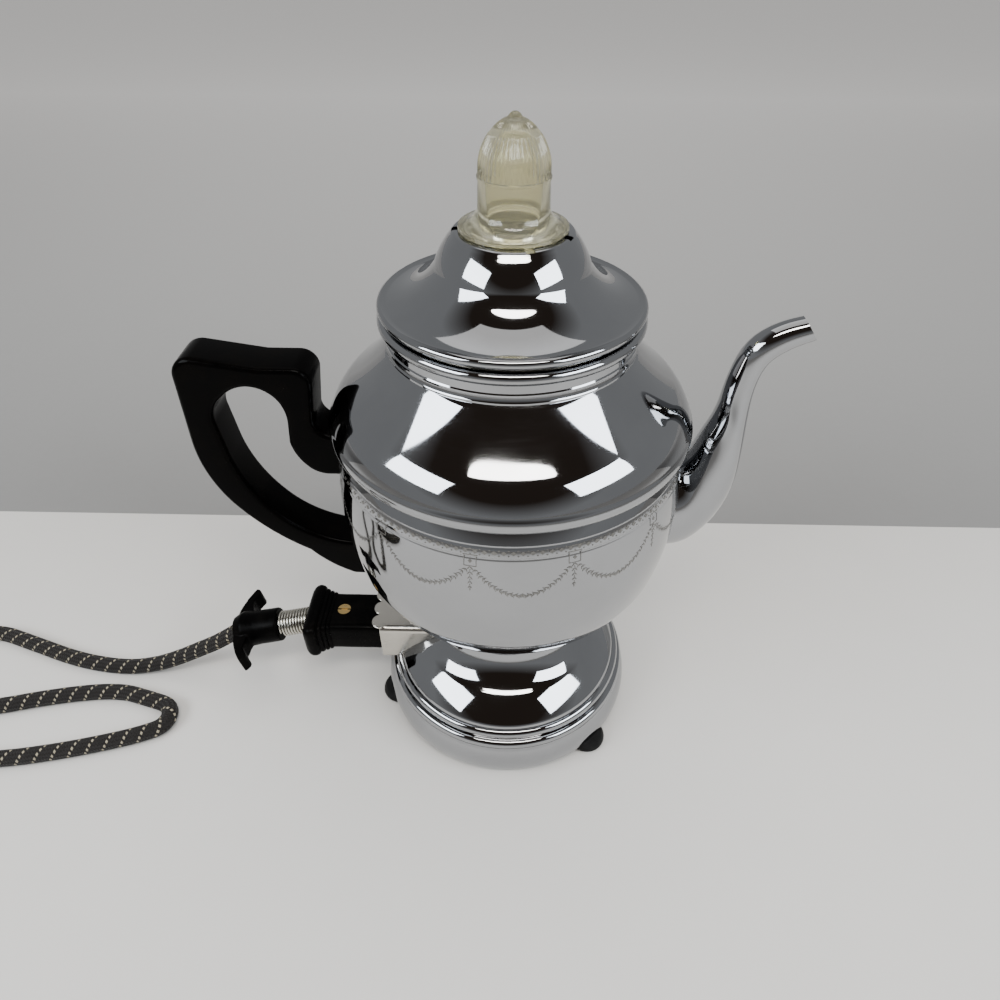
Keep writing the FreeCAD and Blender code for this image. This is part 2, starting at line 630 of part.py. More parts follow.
def make_pump():
    keep(cut("tube_bored",
             solid("Cylinder", "tube_bar", z="well_top + 3.2", Radius="tube_radius",
                   Height="tube_top - well_top - 3.2"),
             solid("Cylinder", "tube_hole", z="well_top", Radius="tube_bore", Height="tube_top")),
         "pump_tube")
    foot = "(floor_height + 2 * sheet_wall + rest_gap)"
    bell = [
        ("bell_radius - thin_wall", foot),
        ("bell_radius", foot),
        ("bell_radius - 1.6", "well_top + 0.6", "3.4", 1),
        ("bell_radius - 5", "well_top + 4"),
        ("tube_radius + 2.6", "well_top + 4"),
        ("tube_radius + 2.6", "well_top + 9"),
        ("tube_radius", "well_top + 9"),
        ("tube_radius", "well_top + 3.2"),
        ("bell_radius - 5.4", "well_top + 3.2"),
        ("bell_radius - 1.6 - thin_wall", "well_top + 0.4"),
    ]
    ports = [solid("Box", f"bell_port_{n}", z=f"{foot} - 1", y="-3",
                   turn=Rotation(Vector(0, 0, 1), 90 * n), Length="bell_radius + 2", Width="6",
                   Height="5") for n in range(4)]
    keep(cut("bell_ported", lathe("bell_turned", bell), fuse("bell_ports", ports)), "pump_bell")
    keep(cut("washer_cut",
             solid("Cylinder", "washer_disc", z="well_top + 0.5", Radius="8", Height="0.8"),
             solid("Cylinder", "washer_hole", z="well_top", Radius="1", Height="4")), "pump_washer")
    stop = [
        ("tube_radius", "basket_bottom - 5"),
        ("tube_radius + 1.5", "basket_bottom - 5"),
        ("tube_radius + 3", "basket_bottom"),
        ("tube_radius", "basket_bottom"),
    ]
    keep(lathe("stop_turned", stop), "basket_stop")


def basket_holes(name, radius, rings, z, height):
    """Round holes in rings about the axis, as one tool."""
    holes = []
    for ring, (distance, count) in enumerate(rings):
        for n in range(count):
            angle = 360 * n / count
            holes.append(solid("Cylinder", f"{name}_{ring}_{n}",
                               x=f"{distance} * cos({angle} * 1 deg)",
                               y=f"{distance} * sin({angle} * 1 deg)", z=z, Radius=radius,
                               Height=height))
    return fuse(name, holes)


def make_basket():
    top = "(basket_bottom + basket_height)"
    cup = [
        ("tube_radius + 0.05", "basket_bottom"),
        ("basket_radius - 2", "basket_bottom", "2", 1),
        ("basket_radius", "basket_bottom + 2"),
        ("basket_radius", f"{top} - 1"),
        ("basket_radius + 1.4", top),
        ("basket_radius + 0.6", f"{top} + 0.4"),
        ("basket_radius - thin_wall", f"{top} - 0.6"),
        ("basket_radius - thin_wall", "basket_bottom + 2.4"),
        ("basket_radius - 2 - thin_wall", "basket_bottom + thin_wall"),
        ("tube_radius + 1.4", "basket_bottom + thin_wall"),
        ("tube_radius + 1.4", "basket_bottom + 8"),
        ("tube_radius + 0.05", "basket_bottom + 8"),
    ]
    holes = basket_holes("basket_hole", "1.1", (("basket_radius * 0.3", 8), ("basket_radius * 0.55", 14),
                                                ("basket_radius * 0.8", 20)), "basket_bottom - 1", "3")
    keep(cut("basket_pierced", lathe("basket_turned", cup), holes), "coffee_basket")
    seat = f"({top} + 0.4 + rest_gap)"
    cover = [
        ("tube_radius + fit_gap", f"{seat} - 1.6"),
        ("basket_radius - 3", f"{seat} - 1.6"),
        ("basket_radius - 3", seat),
        ("basket_radius + 1.2", seat),
        ("basket_radius + 1.2", f"{seat} + thin_wall"),
        ("basket_radius - 3 - thin_wall", f"{seat} + thin_wall"),
        ("basket_radius - 3 - thin_wall", f"{seat} - 1.6 + thin_wall"),
        ("tube_radius + fit_gap + thin_wall", f"{seat} - 1.6 + thin_wall"),
        ("tube_radius + fit_gap + thin_wall", f"{seat} + 3"),
        ("tube_radius + fit_gap", f"{seat} + 3"),
    ]
    holes = basket_holes("cover_hole", "1.1", (("basket_radius * 0.3", 8), ("basket_radius * 0.5", 14),
                                               ("basket_radius * 0.72", 20)), f"{seat} - 3", "6")
    keep(cut("cover_pierced", lathe("cover_turned", cover), holes), "basket_cover")


# ---------------------------------------------------------------- appliance plug and its cord guard

def plug_half(name, side):
    """Half of the plug: the plan outline and the side outline in common, split at the pins' height."""
    plan = [
        ("-plug_inner", "-plug_width / 2"),
        ("-plug_inner", "plug_width / 2"),
        ("-92", "plug_width / 2", "30", -1),
        ("-plug_outer + 5.5", "plug_width / 2 + plug_flare_side", "4", 1),
        ("-plug_outer + 1.9", "plug_width / 2 + plug_flare_side - 2.4", "60", 1),
        ("-plug_outer + 1.9", "-plug_width / 2 - plug_flare_side + 2.4", "4", 1),
        ("-plug_outer + 5.5", "-plug_width / 2 - plug_flare_side", "30", -1),
        ("-92", "-plug_width / 2"),
    ]
    profile = [
        ("-plug_inner", "0"),
        ("-plug_inner", f"{side} * (plug_thick / 2 - 0.8)"),
        ("-plug_inner - 0.8", f"{side} * plug_thick / 2"),
        ("-92", f"{side} * plug_thick / 2"),
        ("-plug_outer + 6", f"{side} * (plug_thick / 2 + plug_flare)"),
        ("-plug_outer + 2.2", f"{side} * (plug_thick / 2 + plug_flare - 0.8)"),
        ("-plug_outer", f"{side} * (plug_thick / 2 - 3)"),
        ("-plug_outer", "0"),
    ]
    block = common(f"{name}_block", [
        slab(f"{name}_plan", "XY_Plane", plan, "plug_thick + 4 * plug_flare", z="pin_height"),
        slab(f"{name}_side", "XZ_Plane", profile, "plug_width + 4 * plug_flare_side", z="pin_height")])
    tools = [solid("Cylinder", f"{name}_contact_{n}", x="-plug_inner + 1", y=y, z="pin_height",
                   turn=ALONG_MINUS_X, Radius="pin_radius + 0.95", Height="26")
             for n, y in enumerate(pin_places())]
    tools.append(solid("Cylinder", f"{name}_seat", x="-plug_outer + 7", z="pin_height",
                       turn=ALONG_MINUS_X, Radius="spring_radius + 1.2", Height="9"))
    tools.append(solid("Cylinder", f"{name}_screw_way", x="-86.8", z="pin_height - plug_thick",
                       Radius="1.75", Height="2 * plug_thick"))
    tools.append(solid("Cylinder", f"{name}_screw_seat", x="-86.8",
                       z="pin_height + plug_thick / 2 - 1.6" if side == 1
                       else "pin_height - plug_thick / 2 - 2", Radius="3.6", Height="3.6"))
    for n in range(3):
        tools.append(solid("Box", f"{name}_groove_{n}", x=f"-98.2 - 2.6 * {n}", y="-20",
                           z="pin_height + plug_thick / 2 + 0.4 * plug_flare" if side == 1
                           else "pin_height - plug_thick / 2 - 6 - 0.4 * plug_flare",
                           Length="0.9", Width="40", Height="6"))
    return cut(f"{name}_cut", block, fuse(f"{name}_tools", tools))


def guard_turn():
    """Direction of the cord guard, which sags and swings a little from the plug's axis."""
    return Rotation(Vector(0, 0, 1), value("grip_turn")) * Rotation(Vector(0, 1, 0), -90 - value("grip_droop"))


def guard_point(distance):
    """A point on the cord guard's axis, as sheet expressions, at a distance from the plug's end."""
    flat = f"cos(grip_droop * 1 deg) * ({distance})"
    return (f"-plug_outer - {flat} * cos(grip_turn * 1 deg)", f"-{flat} * sin(grip_turn * 1 deg)",
            f"pin_height - sin(grip_droop * 1 deg) * ({distance})")


def make_plug():
    keep(plug_half("plug_upper", 1), "plug_upper_half")
    keep(plug_half("plug_lower", -1), "plug_lower_half")
    head = solid("Cylinder", "plug_screw_head", x="-86.8", z="pin_height + plug_thick / 2 - 1.6",
                 Radius="3.4", Height="1.8")
    slot = solid("Box", "plug_screw_slot", x="-86.8 - 4", y="-0.4", z="pin_height + plug_thick / 2 - 0.5",
                 Length="8", Width="0.8", Height="2")
    shank = solid("Cylinder", "plug_screw_shank", x="-86.8", z="pin_height - plug_thick / 2 + 0.2",
                  Radius="1.7", Height="plug_thick - 1.6")
    keep(cut("plug_screw_slotted", fuse("plug_screw_blank", [head, shank]), slot), "plug_screw")
    nut = solid("Cylinder", "plug_nut_disc", x="-86.8", z="pin_height - plug_thick / 2 - 0.1",
                Radius="3.4", Height="1.7")
    nut_hole = solid("Cylinder", "plug_nut_hole", x="-86.8", z="pin_height - plug_thick / 2 - 1",
                     Radius="1.7", Height="4")
    keep(cut("plug_nut_bored", nut, nut_hole), "plug_nut")
    clips = []
    for n, y in enumerate(pin_places()):
        sleeve = solid("Cylinder", f"clip_{n}", x="-plug_inner - 1", y=y, z="pin_height",
                       turn=ALONG_MINUS_X, Radius="pin_radius + 0.9", Height="23.5")
        bore = solid("Cylinder", f"clip_bore_{n}", x="-plug_inner", y=y, z="pin_height",
                     turn=ALONG_MINUS_X, Radius="pin_radius + rest_gap", Height="30")
        clips.append(cut(f"clip_bored_{n}", sleeve, bore))
    keep(compound("clip_pair", clips), "contact_clips")


def make_guard():
    turns = math.floor((value("spring_length") + 5 - value("spring_wire")) / (1.3 * value("spring_wire")))
    helix = doc.addObject("Part::Helix", "spring_line")
    helix.setExpression("Radius", bound("spring_radius - spring_wire / 2"))
    helix.setExpression("Height", bound("spring_length + 5 - spring_wire"))
    helix.setExpression("Pitch", bound(f"(spring_length + 5 - spring_wire) / {turns}"))
    ring = doc.addObject("Part::Circle", "spring_section")
    ring.setExpression("Radius", bound("spring_wire / 2"))
    ring.Placement = Placement(Vector(value("spring_radius - spring_wire / 2"), 0, 0),
                               Rotation(Vector(1, 0, 0), 90))
    spring = doc.addObject("Part::Sweep", "spring_swept")
    spring.Sections = [ring]
    doc.recompute()
    spring.Spine = (helix, [f"Edge{n}" for n in range(1, len(helix.Shape.Edges) + 1)])
    spring.Solid = True
    spring.Frenet = True
    x, y, z = guard_point("-5 + spring_wire / 2")
    keep(place(spring, x=x, y=y, z=z, turn=guard_turn()), "guard_spring")
    sleeve = [
        ("cord_diameter / 2 + 0.15", "0"),
        ("spring_radius + 1.9", "0"),
        ("spring_radius + 2.1", "1"),
        ("spring_radius + 2.2", "grip_sleeve"),
        ("spring_radius + 2.8", "grip_sleeve + grip_bar - 5"),
        ("spring_radius + 0.6", "grip_sleeve + grip_bar"),
        ("cord_diameter / 2 + 0.15", "grip_sleeve + grip_bar"),
    ]
    x, y, z = guard_point("spring_length")
    barrel = lathe("grip_barrel", sleeve, x=x, y=y, z=z, turn=guard_turn())
    bar = [
        ("grip_sleeve + 3", "-spring_radius"),
        ("grip_sleeve + 4.5", "-grip_span / 2 + 9", "8", -1),
        ("grip_sleeve + 1.9", "-grip_span / 2 + 4.6", "3.2", 1),
        ("grip_sleeve + 4.4", "-grip_span / 2", "42", 1),
        ("grip_sleeve + grip_bar", "0", "42", 1),
        ("grip_sleeve + 4.4", "grip_span / 2", "3.2", 1),
        ("grip_sleeve + 1.9", "grip_span / 2 - 4.6", "8", -1),
        ("grip_sleeve + 4.5", "grip_span / 2 - 9"),
        ("grip_sleeve + 3", "spring_radius"),
    ]
    cross = slab("grip_cross", "XY_Plane", bar, "9.5", x=x, y=y, z=z,
                 turn=guard_turn() * Rotation(Vector(0, 1, 0), -90))
    bore = solid("Cylinder", "grip_bore", x=x, y=y, z=z, turn=guard_turn(),
                 Radius="cord_diameter / 2 + 0.15", Height="grip_sleeve + grip_bar + 2")
    keep(cut("grip_bored", fuse("grip_blank", [barrel, cross]), bore), "finger_grip")
    x, y, z = guard_point("-6")
    keep(solid("Cylinder", "lead_core", x=x, y=y, z=z, turn=guard_turn(), Radius="cord_diameter / 2",
               Height="6 + spring_length + grip_sleeve + grip_bar"), "cord_in_guard")


# ---------------------------------------------------------------- cord, stored coil and wall plug

COIL_CENTRE = (-330, -110)
COIL_LAYERS = 2
WALL_PLUG_X = -386
WALL_PLUG_START = -145


def cord_route():
    """Points of the cord from the finger grip along the floor to the stored coil."""
    lying = value("cord_diameter") / 2
    x, y, z = (value(text) for text in guard_point("spring_length + grip_sleeve + grip_bar"))
    return [Vector(x, y, z)] + [Vector(*point) for point in (
        (-158, -4.4, 27), (-171, -4.4, 19.5), (-185, -4.6, 11.5), (-200, -6, 6), (-218, -7.3, lying),
        (-246, -3, lying), (-278, 8, lying), (-308, 18, lying), (-336, 8, lying), (-338, -20, lying),
        (-316, -37, lying), (-284, -36, lying), (-248, -26.5, lying), (-215, -22, lying),
        (-195, -27.5, lying), (-181.5, -31.5, lying), (-180.5, -43, lying), (-192, -48.5, lying),
        (-208, -53.5, lying), (-234, -60, lying), (-264, -65, lying), (-290, -63, lying),
        (-308, -62.5, lying))]


def tail_route():
    """Points of the short run from the coil's last turn to the wall plug."""
    lift = value("cord_diameter") * 1.5
    side = COIL_CENTRE[0] - value("coil_middle + cord_diameter") / 2
    return [Vector(side, -116, lift), Vector(side - 0.8, -129, lift + 0.5), Vector(WALL_PLUG_X, -138, 13.7),
            Vector(WALL_PLUG_X, WALL_PLUG_START, 14)]


def rounded_wire(points, label):
    """Straight runs joined by tangent arcs, each arc as large as its two runs allow."""
    edges, start, radii = [], points[0], []
    for before, corner, after in zip(points, points[1:], points[2:]):
        into, out = (corner - before).normalize(), (after - corner).normalize()
        half_turn = into.getAngle(out) / 2
        reach = 0.45 * min((corner - before).Length, (after - corner).Length)
        first, last = corner - into * reach, corner + out * reach
        bisector = (out - into).normalize()
        radius = reach / math.tan(half_turn)
        radii.append(round(radius, 1))
        middle = corner + bisector * (math.hypot(radius, reach) - radius)
        edges.append(Part.LineSegment(start, first).toShape())
        edges.append(Part.Arc(first, middle, last).toShape())
        start = last
    edges.append(Part.LineSegment(start, points[-1]).toShape())
    print(label, "bend radii", radii, "shortest", min(radii))
    return Part.Wire(edges)


def make_tube(label, points):
    """Round cord along a route of points, and a test that its volume is its section times length."""
    radius = value("cord_diameter") / 2
    wire = rounded_wire(points, label)
    ring = Part.Wire([Part.Circle(points[0], points[1] - points[0], radius).toShape()])
    shape = wire.makePipeShell([ring], True, False)
    ratio = shape.Volume / (math.pi * radius ** 2 * wire.Length)
    print(label, "length", round(wire.Length, 1), "volume against section times length", round(ratio, 4))
    tube = doc.addObject("Part::Feature", label + "_tube")
    tube.Shape = shape
    keep(place(tube), label)


def make_cord():
    make_tube("cord", cord_route())
    make_tube("cord_tail", tail_route())
    x, y = COIL_CENTRE
    ring = [
        ("coil_middle / 2 - cord_diameter", "0"),
        ("coil_middle / 2 + cord_diameter", "0"),
        ("coil_middle / 2 + cord_diameter", f"{COIL_LAYERS} * cord_diameter"),
        ("coil_middle / 2 - cord_diameter", f"{COIL_LAYERS} * cord_diameter"),
    ]
    keep(lathe("coil_ring", ring, x=x, y=y), "cord_coil")
    tie_outer = solid("Box", "tie_outer", x=f"{x} - 5", y=f"{y} - coil_middle / 2 - cord_diameter - 1.5",
                      z="0", Length="10", Width="2 * cord_diameter + 3",
                      Height=f"{COIL_LAYERS} * cord_diameter + 1.5")
    tie_inner = lathe("tie_inner", ring, x=x, y=y)
    keep(cut("tie_cut", tie_outer, tie_inner), "coil_tie")


def make_wall_plug():
    cap = [
        ("0", "0"),
        ("cord_diameter / 2 + 2", "0"),
        ("cord_diameter / 2 + 3.4", "5", "9", 1),
        ("14", "10"),
        ("14", "22"),
        ("0", "22"),
    ]
    toward_floor = Rotation(Vector(1, 0, 0), 90)
    keep(lathe("wall_plug_cap", cap, x=WALL_PLUG_X, y=WALL_PLUG_START, z="14", turn=toward_floor),
         "wall_plug_body")
    blades = [solid("Box", f"blade_{n}", x=f"{WALL_PLUG_X} + {6.35 * side} - 0.75",
                    y=f"{WALL_PLUG_START} - 22 - 16", z="14 - 3.2", Length="1.5", Width="16",
                    Height="6.4") for n, side in enumerate((-1, 1))]
    keep(compound("blade_pair", blades), "wall_plug_blades")


# ---------------------------------------------------------------- build, test and write

def main():
    for make in (make_pedestal, make_bottom_plate, make_feet, make_pot, make_heater, make_inlet,
                 make_shroud, make_handle, make_spout, make_lid, make_knob, make_pump, make_basket,
                 make_plug, make_guard, make_cord, make_wall_plug):
        make()
    doc.recompute()
    faulty = [o.Label for o in doc.Objects if {"Invalid", "Error"} & set(o.State)]
    for piece in subparts:
        if piece.Shape.isNull() or not piece.Shape.isValid() or not piece.Shape.Solids:
            faulty.append(piece.Label)
    if faulty:
        raise RuntimeError("faulty objects: " + ", ".join(faulty))
    os.makedirs("parts", exist_ok=True)
    for piece in subparts:
        piece.Shape.exportStep(f"parts/{piece.Label}.step")
        box = piece.Shape.BoundBox
        print(f"{piece.Label:18} {len(piece.Shape.Solids)} solid(s) {piece.Shape.Volume:10.1f} mm3  "
              f"x {box.XMin:8.2f} {box.XMax:8.2f}  y {box.YMin:8.2f} {box.YMax:8.2f}  "
              f"z {box.ZMin:7.2f} {box.ZMax:7.2f}")


main()
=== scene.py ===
import json
import math

import bmesh
import bpy
from bpy.props import FloatProperty, FloatVectorProperty, IntProperty, PointerProperty
from mathutils import Matrix, Vector


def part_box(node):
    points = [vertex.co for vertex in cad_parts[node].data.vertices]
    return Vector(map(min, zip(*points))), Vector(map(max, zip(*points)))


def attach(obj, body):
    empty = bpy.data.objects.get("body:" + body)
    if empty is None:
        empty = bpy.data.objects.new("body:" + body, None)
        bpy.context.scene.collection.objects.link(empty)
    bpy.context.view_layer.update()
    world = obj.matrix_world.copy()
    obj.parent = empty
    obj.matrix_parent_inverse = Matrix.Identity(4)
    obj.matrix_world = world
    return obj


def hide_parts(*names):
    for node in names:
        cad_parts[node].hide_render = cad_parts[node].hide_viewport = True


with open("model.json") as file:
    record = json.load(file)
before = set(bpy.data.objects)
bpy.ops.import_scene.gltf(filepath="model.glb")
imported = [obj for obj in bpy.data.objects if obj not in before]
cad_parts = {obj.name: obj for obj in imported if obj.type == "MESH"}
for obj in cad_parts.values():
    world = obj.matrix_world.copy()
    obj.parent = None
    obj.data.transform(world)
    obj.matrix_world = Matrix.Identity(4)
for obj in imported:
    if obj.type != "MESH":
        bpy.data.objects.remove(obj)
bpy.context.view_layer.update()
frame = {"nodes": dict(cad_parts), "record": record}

bl_info = {
    "name": "Electric Coffee Percolator",
    "version": (1, 0, 0),
    "blender": (4, 5, 0),
    "location": "View3D > Sidebar > Percolator",
    "description": "Plated shells, glass, moulded parts and braided cord of a footed coffee percolator",
    "category": "Add Mesh",
}

MM = 0.001
AXIS_X = (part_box("glass_knob")[0][0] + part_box("glass_knob")[1][0]) / 2
PIN_HEIGHT = (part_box("terminal_pins")[0][2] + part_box("terminal_pins")[1][2]) / 2 / MM

# Millimetres: heights above the floor, radii and the plug's cord end from the pot's axis.
WAIST = 58.0
RIM_TOP = 224.6
RIM_BORE = 45.4
SHELL_WALL = 1.0
KNOB_TOP = 288.4
PLUG_END = -107.3

# Metres along Y, where the floor ends and the backdrop starts.
SEAM = 0.127


# ---------------------------------------------------------------- sizes and colours a user may change

class PercolatorSizes(bpy.types.PropertyGroup):
    turning_steps: IntProperty(
        name="Turning steps", description="Segments round the spun shells", default=160, min=24, max=256)
    cord_diameter: FloatProperty(
        name="Cord diameter", description="Diameter of the cloth-covered cord", default=0.0085, unit="LENGTH")
    cord_sides: IntProperty(
        name="Cord sides", description="Segments round the cord", default=16, min=8, max=32)
    coil_points: IntProperty(
        name="Coil points", description="Spline points in each turn of the stored coil", default=16, min=12)
    spring_turns: IntProperty(
        name="Spring turns", description="Turns of the cord guard's spring", default=12, min=4)
    spring_wire: FloatProperty(
        name="Spring wire", description="Diameter of the spring's wire", default=0.0013, unit="LENGTH")
    flutes: IntProperty(
        name="Glass flutes", description="Fine flutes round the glass dome", default=44, min=8)
    flute_depth: FloatProperty(
        name="Flute depth", description="Depth of a flute in the glass", default=0.0005, unit="LENGTH")
    garlands: IntProperty(
        name="Garlands", description="Repeats of the engraved garland round the bowl", default=12, min=3)
    handle_rounding: FloatProperty(
        name="Handle rounding", description="Edge radius of the handle", default=0.0024, unit="LENGTH")


class PercolatorColours(bpy.types.PropertyGroup):
    chrome: FloatVectorProperty(
        name="Chrome", description="Bright plate of the shells", subtype="COLOR", size=3,
        default=(0.35, 0.357, 0.37), min=0, max=1)
    nickel: FloatVectorProperty(
        name="Nickel", description="Older, warmer plate of the shroud", subtype="COLOR", size=3,
        default=(0.66, 0.63, 0.57), min=0, max=1)
    moulding: FloatVectorProperty(
        name="Moulding", description="Black phenolic mouldings", subtype="COLOR", size=3,
        default=(0.0012, 0.0011, 0.0011), min=0, max=1)
    braid: FloatVectorProperty(
        name="Braid", description="Ground colour of the cord's braid", subtype="COLOR", size=3,
        default=(0.010, 0.009, 0.0085), min=0, max=1)
    tracer: FloatVectorProperty(
        name="Tracer", description="Pale tracer threads of the braid", subtype="COLOR", size=3,
        default=(0.42, 0.37, 0.27), min=0, max=1)
    floor: FloatVectorProperty(
        name="Floor", description="Floor of the stage", subtype="COLOR", size=3,
        default=(0.63, 0.61, 0.58), min=0, max=1)
    # The backdrop colour is the tone at the seam, kept dark there as painted shade. The sheet is painted
    # lighter further back.
    backdrop: FloatVectorProperty(
        name="Backdrop", description="Paper behind the floor", subtype="COLOR", size=3,
        default=(0.24, 0.236, 0.23), min=0, max=1)


# ---------------------------------------------------------------- shaping helpers

def at(x, y, z):
    """A place given in millimetres from the pot's axis, in the frame's metres."""
    return Vector((x * MM + AXIS_X, y * MM, z * MM))


def traced(corners, step=0.7, closed=False):
    """Points of an outline.  A corner with a radius and a side bends the segment that starts at it,
    to the left where side is 1."""
    points = []
    for n, corner in enumerate(corners):
        start = Vector(corner[:2])
        points.append(start)
        if len(corner) == 2 or (n == len(corners) - 1 and not closed):
            continue
        chord = Vector(corners[(n + 1) % len(corners)][:2]) - start
        radius, side = corner[2:]
        lift = math.sqrt(max(radius ** 2 - chord.length_squared / 4, 0.0))
        centre = start + chord / 2 + Vector((-chord.y, chord.x)).normalized() * lift * side
        sweep = 2 * math.asin(min(chord.length / 2 / radius, 1.0))
        steps = max(2, math.ceil(radius * sweep / step))
        for k in range(1, steps):
            points.append(centre + Matrix.Rotation(side * sweep * k / steps, 2) @ (start - centre))
    return points


def inset(points, depth):
    """The line moved to its left by depth; it runs upwards, so its left is the pot's inside."""
    moved = []
    for n, point in enumerate(points):
        along = points[min(n + 1, len(points) - 1)] - points[max(n - 1, 0)]
        moved.append(point + Vector((-along.y, along.x)).normalized() * depth)
    return moved


def mesh_of(name, verts, faces):
    mesh = bpy.data.meshes.new(name)
    mesh.from_pydata([tuple(v) for v in verts], [], faces)
    return mesh


def tidied(mesh, sharp=35.0, merge=1e-7):
    """Merges doubles, turns faces outwards, and shades smooth with creases past an angle."""
    work = bmesh.new()
    work.from_mesh(mesh)
    bmesh.ops.remove_doubles(work, verts=work.verts, dist=merge)
    bmesh.ops.dissolve_degenerate(work, edges=work.edges, dist=merge)
    bmesh.ops.recalc_face_normals(work, faces=work.faces)
    work.to_mesh(mesh)
    work.free()
    shaded(mesh, sharp)
    return mesh


def shaded(mesh, sharp=35.0):
    mesh.polygons.foreach_set("use_smooth", [True] * len(mesh.polygons))
    mesh.set_sharp_from_angle(angle=math.radians(sharp))
    mesh.update()


def turned(name, outline, place=None, steps=None, ripple=None):
    """A solid turned from a closed outline of radius and height, in millimetres."""
    steps = steps or bpy.context.scene.percolator_sizes.turning_steps
    place = place or Matrix.Translation(at(0, 0, 0))
    verts, rings = [], []
    for radius, height in outline:
        count = 1 if radius < 1e-4 else steps
        rings.append((len(verts), count))
        for k in range(count):
            angle = 2 * math.pi * k / steps
            reach = radius + (ripple(angle, radius, height) if ripple else 0.0)
            verts.append(place @ (Vector((reach * math.cos(angle), reach * math.sin(angle), height)) * MM))
    faces = []
    for n, (start, count) in enumerate(rings):
        after, wide = rings[(n + 1) % len(rings)]
        if count == 1 and wide == 1:
            continue
        for k in range(steps):
            ring = (start + k % count, start + (k + 1) % count, after + (k + 1) % wide, after + k % wide)
            faces.append(tuple(dict.fromkeys(ring)))
    return tidied(mesh_of(name, verts, faces))


def ribbon_tube(name, path, radius, sides):
    """A round tube along points, with lengths in metres along U and turns round it along V."""
    last = len(path) - 1
    tangents = [(path[min(n + 1, last)] - path[max(n - 1, 0)]).normalized() for n in range(last + 1)]
    side = tangents[0].orthogonal().normalized()
    verts, faces, texture, run = [], [], [], [0.0]
    for n, point in enumerate(path):
        side = (side - tangents[n] * side.dot(tangents[n])).normalized()
        other = tangents[n].cross(side)
        for k in range(sides):
            angle = 2 * math.pi * k / sides
            verts.append(point + (side * math.cos(angle) + other * math.sin(angle)) * radius)
        if n:
            run.append(run[-1] + (point - path[n - 1]).length)
    for n in range(len(path) - 1):
        for k in range(sides):
            a, b = n * sides + k, n * sides + (k + 1) % sides
            faces.append((a, b, b + sides, a + sides))
            texture.append(((run[n], k / sides), (run[n], (k + 1) / sides),
                            (run[n + 1], (k + 1) / sides), (run[n + 1], k / sides)))
    for ring, turn in ((0, -1), (len(path) - 1, 1)):
        cap = list(range(ring * sides, (ring + 1) * sides))[::turn]
        faces.append(tuple(cap))
        texture.append(tuple((run[ring], 0.0) for _ in cap))
    mesh = mesh_of(name, verts, faces)
    layer = mesh.uv_layers.new(name="Braid")
    layer.data.foreach_set("uv", [number for face in texture for place in face for number in place])
    shaded(mesh, 60)
    return mesh


def set_piece(name, mesh, body, finish, slot, *hidden):
    """Puts a finished mesh into the frame, on its body, in place of the CAD nodes it stands for."""
    piece = bpy.data.objects.new(name, mesh)
    bpy.context.scene.collection.objects.link(piece)
    mesh.materials.clear()
    mesh.materials.append(finish)
    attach(piece, body)
    if hidden:
        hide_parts(*hidden)
    return piece


def plain_mesh(name, carrier):
    """The plain mesh of an object's modifiers or curve; the object itself is removed."""
    bpy.context.view_layer.update()
    made = bpy.data.meshes.new_from_object(carrier.evaluated_get(bpy.context.evaluated_depsgraph_get()))
    bpy.data.objects.remove(carrier)
    made.name = name
    if len(made.vertices) == 0:
        raise RuntimeError(f"{name} came out empty")
    return made


def worked(name, mesh, *modifiers):
    """The mesh after modifiers, as a plain mesh."""
    carrier = bpy.data.objects.new(name + "_carrier", mesh)
    bpy.context.scene.collection.objects.link(carrier)
    for kind, settings in modifiers:
        modifier = carrier.modifiers.new(kind.title(), kind)
        for key, setting in settings.items():
            setattr(modifier, key, setting)
    return plain_mesh(name, carrier)


def grown(name, tree, seed=None, **inputs):
    """The plain mesh that a node tree makes with its named inputs, from a seed mesh where it takes one."""
    carrier = bpy.data.objects.new(name + "_carrier", seed or bpy.data.meshes.new(name + "_seed"))
    modifier = carrier.modifiers.new("Grow", "NODES")
    modifier.node_group = tree
    for item in tree.interface.items_tree:
        if item.in_out == "INPUT" and item.name in inputs:
            modifier[item.identifier] = inputs[item.name]
    bpy.context.scene.collection.objects.link(carrier)
    return plain_mesh(name, carrier)


def cad_copy(node):
    """A merged copy of a CAD node's mesh."""
    mesh = frame["nodes"][node].data.copy()
    work = bmesh.new()
    work.from_mesh(mesh)
    bmesh.ops.remove_doubles(work, verts=work.verts, dist=1e-6)
    work.to_mesh(mesh)
    work.free()
    return mesh


def moulded(name, node, voxel, rounds):
    """A CAD node's shape with the soft edges of a moulding."""
    made = worked(name, cad_copy(node),
                  ("REMESH", {"mode": "VOXEL", "voxel_size": voxel, "adaptivity": 0.0}),
                  ("SMOOTH", {"factor": 0.5, "iterations": rounds}))
    shaded(made, 50)
    return made


def boxes(name, places):
    """Unit cubes under the given matrices, as one cutter."""
    work = bmesh.new()
    for place in places:
        bmesh.ops.create_cube(work, size=1.0, matrix=place)
    mesh = bpy.data.meshes.new(name)
    work.to_mesh(mesh)
    work.free()
    return mesh


def node_tree(name, inputs):
    """An empty Geometry Nodes tree with named inputs, and the outputs of its input node."""
    tree = bpy.data.node_groups.new(name, "GeometryNodeTree")
    for label, kind in inputs:
        tree.interface.new_socket(label, in_out="INPUT", socket_type="NodeSocket" + kind)
    tree.interface.new_socket("Geometry", in_out="OUTPUT", socket_type="NodeSocketGeometry")
    return tree, tree.nodes.new("NodeGroupInput").outputs


def end_tree(tree, geometry, material):
    """Realizes the tree's geometry, gives it its material and hands it out."""
    real = tree.nodes.new("GeometryNodeRealizeInstances")
    paint = tree.nodes.new("GeometryNodeSetMaterial")
    paint.inputs["Material"].default_value = material
    tree.links.new(geometry, real.inputs[0])
    tree.links.new(real.outputs[0], paint.inputs["Geometry"])
    tree.links.new(paint.outputs[0], tree.nodes.new("NodeGroupOutput").inputs[0])
    return tree


